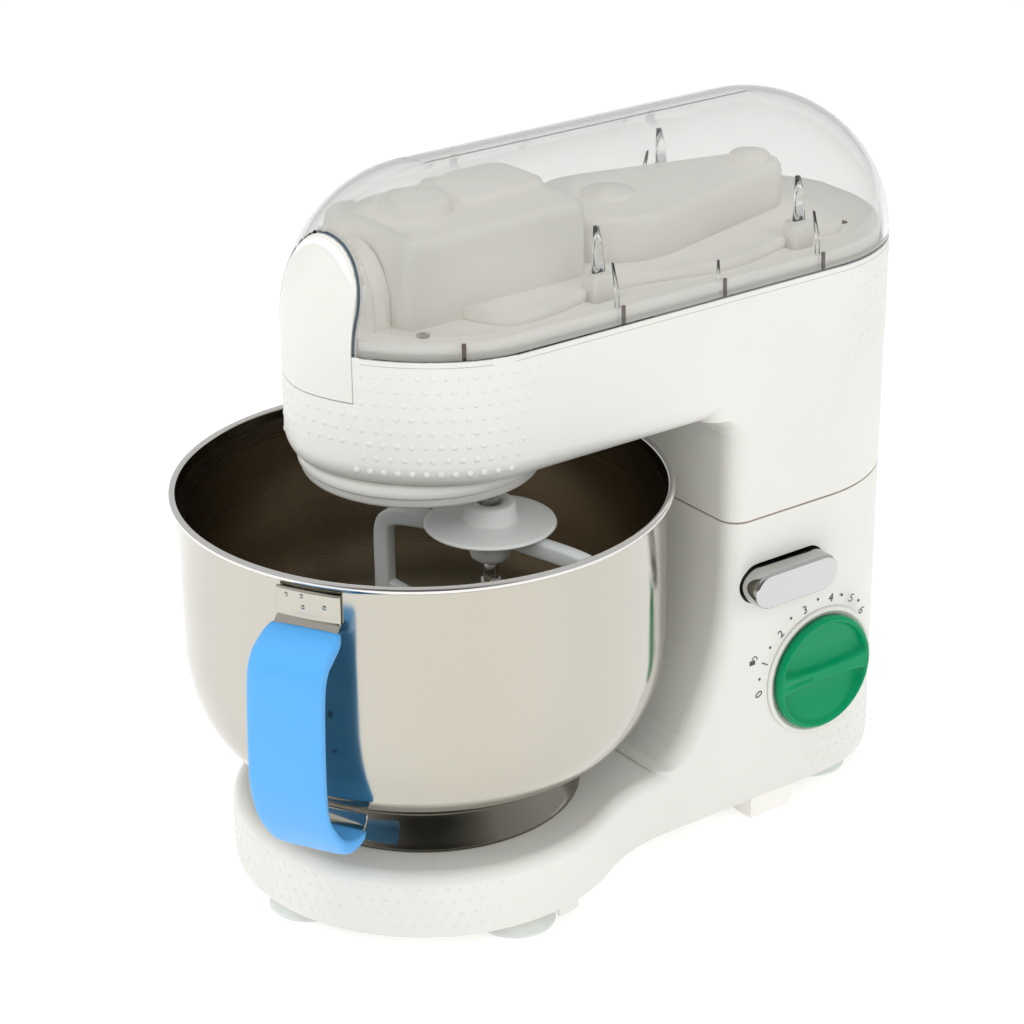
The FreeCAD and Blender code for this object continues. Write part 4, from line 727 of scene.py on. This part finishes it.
def padlock(turn):
    """A generic open padlock beside the first position."""
    y = DIAL_Y + PADLOCK_RING * math.cos(turn)
    z = DIAL_Z + PADLOCK_RING * math.sin(turn)
    points = []
    for x in (MARK_FOOT, MARK_X):
        points += [at(x, y - 1.7, z - 1.5), at(x, y + 1.7, z - 1.5), at(x, y + 1.7, z + 0.9),
                   at(x, y - 1.7, z + 0.9)]
    faces = [(4, 5, 6, 7), (0, 1, 5, 4), (1, 2, 6, 5), (2, 3, 7, 6), (3, 0, 4, 7)]
    for i in range(10):
        bend = math.radians(-20 + 200 * i / 9)
        for radius in (1.2, 1.75):
            for x in (MARK_FOOT, MARK_X):
                points.append(at(x, y + 1.4 + radius * math.cos(bend),
                                 z + 1.2 + radius * math.sin(bend)))
    for i in range(9):
        base = 8 + 4 * i
        faces += [(base + 1, base + 3, base + 7, base + 5), (base, base + 1, base + 5, base + 4),
                  (base + 2, base + 3, base + 7, base + 6)]
    piece("padlock", points, faces, "base", INK, smooth=False)


# ---- outlines and shells

def plan_line(inset=0.0):
    """The head's outline seen from above, from the nose round the dial side."""
    half = HALF - inset
    power = 2 / NOSE_POWER
    nose = [(half * s ** power, NOSE_Y - half * c ** power) for c, s in quarter(32)]
    return nose + rear_line(half)


def rear_line(half):
    return [(half * c, REAR_Y + half * s) for c, s in quarter(32)]


def whole(line):
    """A half outline and its mirror image as one closed outline."""
    return line + [(-x, y) for x, y in reversed(line[1:-1])]


def column_line(inset=0.0):
    """The column's outline at the seam, with its two rounded front corners."""
    half = HALF - inset
    front = 125.15 + inset
    bend = 10 - inset
    corner = [(half - bend + bend * s, front + bend - bend * c) for c, s in quarter(8)]
    return [(0, front)] + corner + rear_line(half)


def rounded_box(x0, x1, y0, y1, bend, steps=6):
    """Outline of a box with rounded upright edges."""
    line = []
    for cx, cy, start in ((x1 - bend, y0 + bend, -90), (x1 - bend, y1 - bend, 0),
                          (x0 + bend, y1 - bend, 90), (x0 + bend, y0 + bend, 180)):
        for i in range(steps + 1):
            turn = math.radians(start + 90 * i / steps)
            line.append((cx + bend * math.cos(turn), cy + bend * math.sin(turn)))
    return line


def stack(name, rows, body, finish, close=True, **more):
    """Joins outlines of equal length at their heights; rows are (outline, z)."""
    count = len(rows[0][0])
    points = [at(x, y, z) for line, z in rows for x, y in line]
    faces = (tube_faces if close else grid_faces)(len(rows), count)
    return piece(name, points, faces, body, finish, **more)


def hull_line(radius_a, y_a, radius_b, y_b, steps=24):
    """Outline of two circles on the centre line and the tangents between them."""
    lean = math.asin((radius_a - radius_b) / (y_b - y_a))
    line = []
    for i in range(steps + 1):
        turn = math.pi - lean + (math.pi + 2 * lean) * i / steps
        line.append((radius_a * math.cos(turn), y_a + radius_a * math.sin(turn)))
    for i in range(steps + 1):
        turn = lean + (math.pi - 2 * lean) * i / steps
        line.append((radius_b * math.cos(turn), y_b + radius_b * math.sin(turn)))
    return line


DOT_PITCH = 6.2  # between the bumps of a row
ROW_PITCH = 6.3  # between the rows
HEAD_ROW = 268.5  # height of the head's highest row
BASE_ROW = 17.5  # height of the base's lowest row


def dots(name, body, spots):
    """Small moulded bumps; every spot is a point on the wall and its outward way."""
    points = []
    faces = []
    rings = [(1.5, -0.15), (1.25, 0.1), (0.8, 0.24), (0.3, 0.29)]
    for place, out in spots:
        side = out.cross(Vector((0, 0, 1))).normalized()
        up = side.cross(out)
        base = len(points)
        for radius, height in rings:
            for k in range(10):
                turn = math.radians(36 * k)
                points.append(place + (side * math.cos(turn) + up * math.sin(turn)) * radius
                              * MM + out * height * MM)
        faces += [tuple(base + v for v in face) for face in grid_faces(4, 10)]
        faces.append(tuple(base + 30 + k for k in range(10)))
    piece(name, points, faces, body, WHITE)


def wall_spot(line, distance, z):
    """The point at one distance along a closed outline, with its outward way."""
    for (x0, y0), (x1, y1) in zip(line, line[1:]):
        span = math.dist((x0, y0), (x1, y1))
        if distance <= span:
            t = distance / span
            out = Vector((y1 - y0, x0 - x1, 0)).normalized()
            return at(x0 + (x1 - x0) * t, y0 + (y1 - y0) * t, z), out
        distance -= span
    return None


# ---- clear cover and inside

def cover_rows(inset, sections):
    """Outlines of the clear cover's dome, from the trim line up to the ridge."""
    rows = []
    for c, s in quarter(sections):
        half = (HALF - inset) * max(c, 0.004)
        rows.append((whole(plan_line(HALF - half)), TRIM + 0.15 + (COVER_RISE - inset) * s))
    return rows


def cap_arch(x, z, grow=0.0):
    """True where the front cap's arch covers a point of the nose."""
    half = 28.2 + grow
    if z < ARCH_Z:
        return abs(x) < half
    return math.hypot(x, z - ARCH_Z) < half


def clear_cover():
    """The cover's outer and inner skins, with the front cap's arch left open."""
    outer = cover_rows(0, 40)
    inner = cover_rows(2.6, 40)
    count = len(outer[0][0])
    points = [at(x, y, z) for line, z in outer for x, y in line]
    points += [at(x, y, z) for line, z in inner for x, y in line]
    shift = len(outer) * count
    faces = grid_faces(len(outer), count)
    faces += [tuple(shift + v for v in face) for face in grid_faces(len(inner), count)]
    faces += [(j, (j + 1) % count, shift + (j + 1) % count, shift + j) for j in range(count)]
    kept = []
    for face in faces:
        middle = sum((points[v] for v in face), Vector()) / len(face)
        x, y, z = middle.x / MM, middle.y / MM - AXIS_Y, middle.z / MM
        if not (y < -20 and cap_arch(x, z, 0.5)):
            kept.append(face)
    piece("cover_skin", points, kept, "head", CLEAR, replaces="clear_cover")


def dome_front(x, z):
    """The y of the cover's or the head's front face above or below the trim."""
    half = HALF
    if z > TRIM:
        half = HALF * math.sqrt(1 - min((z - TRIM) / COVER_RISE, 1) ** 2)
    return NOSE_Y - half * max(1 - abs(x / half) ** NOSE_POWER, 0) ** (1 / NOSE_POWER)


def cap_edge():
    """The thin dark line of painted shade where the front cap meets the clear cover."""
    half = 28.7
    line = [(half, 276 + i * 2) for i in range(8)]
    for i in range(49):
        turn = math.pi * i / 48
        line.append((half * math.cos(turn), ARCH_Z + half * math.sin(turn)))
    line += [(-half, 290 - i * 2) for i in range(8)]
    points = []
    for x, z in line:
        points.append(at(x, dome_front(x, z) - 0.06, z))
        points.append(at(x, dome_front(x, z) + 1.5, z))
    faces = [(2 * i, 2 * i + 1, 2 * i + 3, 2 * i + 2) for i in range(len(line) - 1)]
    piece("cap_edge", points, faces, "head", CAP_EDGE_PAINTED_SHADE)


def tapered(rows):
    """Outlines of rounded boxes; rows are (x, y, half x, half y, bend, z)."""
    return [(rounded_box(x - a, x + a, y - b, y + b, bend), z) for x, y, a, b, bend, z in rows]


def inner_stack(name, rows, **more):
    stack(name, rows, "head", INNER_PAINTED_LIGHT, **more)


def boss(name, profile, y, steps):
    lathe(name, profile, "head", INNER_PAINTED_LIGHT, centre=(0, y), steps=steps)


def clear_stack(name, rows):
    stack(name, rows, "head", CLEAR_RIB)


def tray():
    """The tray under the cover and the wavy step on it."""
    inner_stack("tray_deck", [(whole(plan_line(inset)), z) for inset, z in
                              ((4.4, 272.5), (4.4, 281.4), (4.9, 282.5), (6.2, 283))],
                replaces="inner_tray")
    wave = []
    for i in range(60):
        y = -6 + 226 * i / 59
        end = min((y + 6) / 20, (220 - y) / 24, 1)
        side = (51.5 + 4.5 * math.sin((y + 8) / 17.5)) * math.sqrt(max(1 - (1 - end) ** 2, 0.0))
        wave.append((max(side, 1), y))
    outline = wave + [(-x, y) for x, y in reversed(wave)]
    inner = [(x * 0.965, 107 + (y - 107) * 0.985) for x, y in outline]
    inner_stack("tray_wave", [(outline, 282), (outline, 287), (inner, 288.2)])


def tower():
    """The gearbox tower, its boss, the belt cover with two bosses and the rear block."""
    shapes = [(rounded_box(-35, 35, -30, 67, 6), 266), (rounded_box(-35, 35, -30, 67, 6), 304),
              (rounded_box(-35, 35, -29, 67, 6), 311),
              (rounded_box(-34.8, 34.8, -27.4, 66.8, 6), 316.6),
              (rounded_box(-34.2, 34.2, -26, 66.4, 6), 319.4),
              (rounded_box(-33, 33, -24.4, 65.4, 6), 321.2),
              (rounded_box(-31, 31, -22, 63.6, 6), 322)]
    inner_stack("tower_shell", shapes, replaces="gear_tower")
    boss("tower_boss", [(0, 320), (16.5, 320), (15.6, 323), (15.2, 326.5), (14, 328.4),
                        (11.5, 329), (0, 329)], 0, 64)
    inner_stack("belt_hood", [(hull_line(30 + grow, 104, 9 + grow, 188), z) for grow, z in
                              ((6.2, 283), (6.2, 303.5), (5.7, 306.6), (4.4, 308.4), (2.4, 309))],
                replaces="belt_cover")
    boss("belt_boss_small", [(0, 308), (10.4, 308), (9.7, 309.5), (9.4, 311.6), (8.2, 312.6),
                             (0, 312.8)], 188, 48)
    boss("belt_boss_large", [(0, 308), (13.6, 308), (13, 309.4), (12, 310.4), (0, 310.8)],
         104, 48)
    inner_stack("tower_block", [(rounded_box(-33, 8, 20, 66, 8), 318),
                                (rounded_box(-33, 8, 20, 66, 8), 322.5),
                                (rounded_box(-32, 7, 21, 65.4, 8), 324.4),
                                (rounded_box(-30, 5, 23, 63.4, 8), 325)])


def posts_and_ribs():
    """Screw posts with clear blades, clear snap ribs, their gaps and two tray holes in painted
    shade, and the screws.
    """
    for i, (x, y) in enumerate(((50, 60), (50, 175), (-50, 60), (-50, 175))):
        inner_stack(f"post_{i}", tapered([(x, y, 5, 6, 2.2, 283), (x, y, 4.8, 5.8, 2.2, 293.6),
                                          (x, y, 4.4, 5.4, 2, 294.7),
                                          (x, y, 3.6, 4.6, 1.8, 295)]))
        blade = tapered([(x, y, 1.1, 3.4, 1, 295.1), (x, y, 1.1, 2.8, 1, 306)])
        blade.append((rounded_box(x - 0.9, x + 0.9, y - 2.6, y - 0.2, 0.8), 316))
        clear_stack(f"clear_post_{i}", blade)
        sign = 1 if x > 0 else -1
        clear_stack(f"snap_rib_{i}", tapered([(sign * 63.4, y, 0.9, 1.1, 0.5, 276.3),
                                              (sign * 63, y, 0.9, 0.9, 0.5, 290),
                                              (sign * 60, y, 0.6, 0.4, 0.3, 302)]))
    # Painted shade: dark slots beside the ribs and dark discs for two holes in the tray.
    gaps = []
    for sign in (1, -1):
        for y in (-21, 60, 117, 175):
            x = sign * (64.3 if y > 0 else 60.6)
            gaps.append(rounded_box(x - 0.7, x + 0.7, y + 1.8, y + 3.6, 0.5, 2))
    for i, line in enumerate(gaps):
        stack(f"rib_gap_painted_shade_{i}", [(line, 276.2), (line, 283.4)], "head", GAP_PAINTED_SHADE)
    for i, x in enumerate((42, -42)):
        lathe(f"tray_screw_{i}", [(0, 283), (2.8, 283), (2.8, 283.8), (2.1, 284.2),
                                  (1.2, 284.2), (1.0, 283.7), (0, 283.7)], "head", STEEL,
              centre=(x, -26), steps=32)
    for i, x in enumerate((38, -38), 2):
        lathe(f"tray_hole_{i}", [(0, 282.9), (2.4, 282.9), (2.4, 283.1), (0, 283.1)], "head",
              GAP_PAINTED_SHADE, centre=(x, 214), steps=32)
    for i, sign in enumerate((1, -1)):
        clear_stack(f"snap_rib_middle_{i}", tapered([(sign * 63.4, 117, 0.9, 1, 0.5, 276.3),
                                                     (sign * 62.6, 117, 0.6, 0.4, 0.3, 292)]))


def arch_line(half, steps=28):
    """The (x, z) points of an upright arch, open at its foot."""
    line = [(-half, 277), (-half, 284)]
    for i in range(steps + 1):
        turn = math.pi - math.pi * i / steps
        line.append((half * math.cos(turn), ARCH_Z + half * math.sin(turn)))
    return line + [(half, 284), (half, 277)]


def outlet_arches():
    """Two nested arches that lead from the tower to the front cap."""
    for name, outer, inner, front, back in (("arch_front", 27, 24.2, -49, -40),
                                            ("arch_back", 24.4, 19.5, -43, -30)):
        points = []
        for half, y in ((outer, front), (outer, back), (inner, back), (inner, front)):
            points += [at(x, y, z) for x, z in arch_line(half)]
        count = len(points) // 4
        faces = []
        for i in range(4):
            j = (i + 1) % 4
            for k in range(count - 1):
                faces.append((i * count + k, i * count + k + 1, j * count + k + 1,
                              j * count + k))
        faces.append((0, count, 2 * count, 3 * count))
        faces.append(tuple(i * count + count - 1 for i in range(4)))
        bevelled(piece(name, points, faces, "head", INNER_PAINTED_LIGHT,
                       replaces="outlet_frame" if name == "arch_front" else None), 0.8)


# ---- lines and dots

def seam_and_trim():
    """Painted shade in the seam of the column and painted shadow lines along the foot of the
    clear cover.
    """
    # Painted shade: a dark band in the column's seam.
    line = whole(column_line(0.7))
    stack("seam_gap", [(line, 161.3), (line, 162.9)], "base", SEAM_PAINTED_SHADE, close=False)
    line = [(x, y) for x, y in whole(plan_line(-0.03)) if not (y < -20 and abs(x) < 28.8)]
    # Painted shadow lines at the trim and under the lip.
    for name, low, high, tone in (("trim_line", 275.55, 275.95, TRIM_PAINTED_SHADOW),
                                  ("lip_line", 273.0, 273.25, LIP_PAINTED_SHADOW)):
        ordered = sorted(line, key=lambda p: math.atan2(p[0], -(p[1] - 95)))
        points = [at(x, y, z) for z in (low, high) for x, y in ordered]
        count = len(ordered)
        faces = []
        for k in range(count - 1):
            (x, y), (next_x, _) = ordered[k], ordered[k + 1]
            if y < -20 and -32 < x < 0 < next_x:
                continue
            faces.append((k, k + 1, count + k + 1, count + k))
        piece(name, points, faces, "head", tone)


def mirrored(spots):
    return [(Vector((-p.x, p.y, p.z)), Vector((-o.x, o.y, o.z))) for p, o in spots]


def row_shift(row):
    return DOT_PITCH / 2 if row % 2 else 0


def all_dots():
    """Grids of small bumps on the nose, the back of the head and the base's skirt."""
    line = plan_line()
    head = []
    nose = []
    for row in range(8):
        z = HEAD_ROW - ROW_PITCH * row
        for column in range(20):
            distance = DOT_PITCH / 2 + DOT_PITCH * column + row_shift(row)
            if z > 252.5 and distance < 32:
                continue
            if distance > 118 - 2.4 * row or (distance < 30 and z < 232):
                continue
            spot = wall_spot(line, distance, z)
            (nose if distance < 30 else head).append(spot)
    for row in range(7):
        for column in range(13):
            distance = 293 + DOT_PITCH * column + row_shift(row)
            spot = wall_spot(line, distance, HEAD_ROW - ROW_PITCH * row)
            if spot:
                head.append(spot)
    dots("head_dots", "head", head + mirrored(head))
    dots("nose_dots", "head", nose + mirrored(nose))
    base = []
    for row in range(4):
        for column in range(-19, 20):
            turn = math.radians(-90 + 3.9 * (column + row_shift(row) / DOT_PITCH))
            out = Vector((math.cos(turn), math.sin(turn), 0))
            base.append((at(92 * out.x, 92 * out.y, BASE_ROW + ROW_PITCH * row), out))
    skirt = []
    for row in range(4):
        for column in range(14):
            along = 175 + DOT_PITCH * column + row_shift(row)
            z = BASE_ROW + ROW_PITCH * row
            place = at(HALF, along, z)
            out = Vector((1, 0, 0))
            if along > REAR_Y:
                turn = (along - REAR_Y) / HALF
                out = Vector((math.cos(turn), math.sin(turn), 0))
                place = at(HALF * out.x, REAR_Y + HALF * out.y, z)
            skirt.append((place, out))
    dots("base_dots", "base", base + skirt + mirrored(skirt))


# ---- beater

BEATER_TURN = math.radians(20.9)  # of the beater about its own shaft, at rest
CARRIER_TURN = math.radians(33.6)  # of the shaft about the bowl's axis
SHAFT_OFFSET = 32.5
SHAFT_X = SHAFT_OFFSET * math.cos(CARRIER_TURN)
SHAFT_Y = SHAFT_OFFSET * math.sin(CARRIER_TURN)
SHAFT = (SHAFT_X, SHAFT_Y)


def beater_point(across, out, height):
    """A point in the beater's own plane: across, out of the plane, up."""
    return at(SHAFT_X + across * math.cos(BEATER_TURN) - out * math.sin(BEATER_TURN),
              SHAFT_Y + across * math.sin(BEATER_TURN) + out * math.cos(BEATER_TURN), height)


def arm(name, line, width, thick, count=48):
    """A bar of rounded section along a path in the beater's plane."""
    path = smooth_path(line, count)
    points = []
    ring = power_ring(width / 2, thick / 2, 4.5, 20)
    for i, (across, height) in enumerate(path):
        way = path_way(path, i)
        for side, out in ring:
            points.append(beater_point(across + way[0] * side, out, height + way[1] * side))
    return piece(name, points, tube_faces(count, len(ring)), "beater", BEATER)


def beater():
    """The flat beater's bars, its shaft's end, its hub and the splash disc."""
    for side, sign in (("a", 1), ("b", -1)):
        frame_line = [(sign * 5, 174.5), (sign * 20, 173.6), (sign * 44, 171.8),
                      (sign * 54.5, 169), (sign * 58.6, 162), (sign * 58.8, 140),
                      (sign * 58.8, 116), (sign * 56.5, 101), (sign * 49, 88.5),
                      (sign * 37, 81.6), (sign * 20, 79.2), (sign * 0.2, 79)]
        obj = arm(f"beater_frame_{side}", frame_line, 8.4, 7.6, 96)
        if sign == 1:
            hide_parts("flat_beater")
        arm(f"beater_bar_{side}", [(sign * 2, 120), (sign * 20, 124), (sign * 56.5, 134)], 7, 5.6)
    arm("beater_spine", [(0, 152), (0, 140), (0, 110), (0, 80)], 8, 6.6)
    lathe("shaft_end", [(0, 150), (3.1, 150), (3.7, 150.6), (3.7, 163), (0, 163)], "beater",
          STEEL, centre=SHAFT, steps=40)
    lathe("beater_hub", [(4.6, 162), (7.4, 162), (9, 163.4), (9.7, 166), (9.8, 178), (9.8, 180),
                         (4.6, 180)], "beater", BEATER, centre=SHAFT, steps=64)
    # Painted light: the splash disc's colour is raised to offset the shade under the head.
    lathe("splash", [(4.6, 180.3), (9, 179.8), (22, 178.9), (29.4, 178.7), (30, 179.3),
                     (29.6, 180.1), (28, 180.4), (13.6, 181.4), (12.6, 181.6), (12.1, 182.2),
                     (11.8, 188.6), (11.4, 189.6), (10.6, 190), (6.2, 190), (5.8, 189.4),
                     (5.6, 187), (4.6, 187)], "beater", SPLASH_PAINTED_LIGHT,
          centre=SHAFT, steps=96, replaces="splash_disc")


# ---- planetary hub

def hub():
    profile = [(12, 218.2), (45, 218.2), (45, 215.6), (55.4, 215.6), (55.5, 210.6),
               (55.1, 210), (54.2, 209.7), (54, 209.2), (53.9, 206.6), (53.2, 205.4),
               (51.8, 204.7), (50, 204.5), (12, 204.5)]
    lathe("hub_shell", profile, "carrier", WHITE, replaces="planet_hub")
    lathe("hub_boss", [(4.6, 201.6), (6, 201.6), (6.6, 202.2), (6.6, 205), (4.6, 205)],
          "carrier", WHITE, centre=SHAFT, steps=64)


# ---- release button

BUTTON_Y = 157
BUTTON_Z = 129


def capsule(length, height, steps=16):
    """Outline of a bar with round ends, as (along, up)."""
    radius = height / 2
    side = length / 2 - radius
    line = []
    for i in range(steps + 1):
        turn = math.radians(-90 + 180 * i / steps)
        line.append((side + radius * math.cos(turn), radius * math.sin(turn)))
    for i in range(steps + 1):
        turn = math.radians(90 + 180 * i / steps)
        line.append((-side + radius * math.cos(turn), radius * math.sin(turn)))
    return line


def button():
    """The chrome button; its rows are (length, height, x)."""
    rows = [(51, 18.6, 57), (51, 18.6, 76.9), (50.8, 18.4, 78), (50.1, 17.7, 79),
            (49, 16.6, 79.6), (47.8, 15.4, 79.8), (42, 9.6, 79.8), (36, 3.6, 79.8)]
    points = []
    for length, height, x in rows:
        points += [at(x, BUTTON_Y + y, BUTTON_Z + z) for y, z in capsule(length, height)]
    count = len(capsule(51, 18.6))
    faces = grid_faces(len(rows), count)
    faces.append(tuple((len(rows) - 1) * count + i for i in range(count)))
    faces.append(tuple(range(count)))
    piece("button_cap", points, faces, "release", CHROME, replaces="release_button")


# ---- floor

def floor():
    """A plain white floor; a slight glow keeps it as white as the photograph's."""
    mesh = bmesh.new()
    bmesh.ops.create_grid(mesh, x_segments=12, y_segments=12, size=6)
    data = bpy.data.meshes.new("floor")
    mesh.to_mesh(data)
    maker = Maker("floor", (0.93, 0.93, 0.93), 0.55, Emission_Color=(1, 1, 1, 1),
                  Emission_Strength=0.3)
    maker.blend(maker.noise(2, 2), (0.925, 0.925, 0.925), (0.935, 0.935, 0.935))
    data.materials.append(maker.material)
    shown("floor", data)


camera()
studio()
floor()
bowl()
foot_ring()
grip()
strap()
dial()
bezel()
dial_marks()
clear_cover()
cap_edge()
tray()
tower()
posts_and_ribs()
outlet_arches()
seam_and_trim()
all_dots()
beater()
hub()
button()
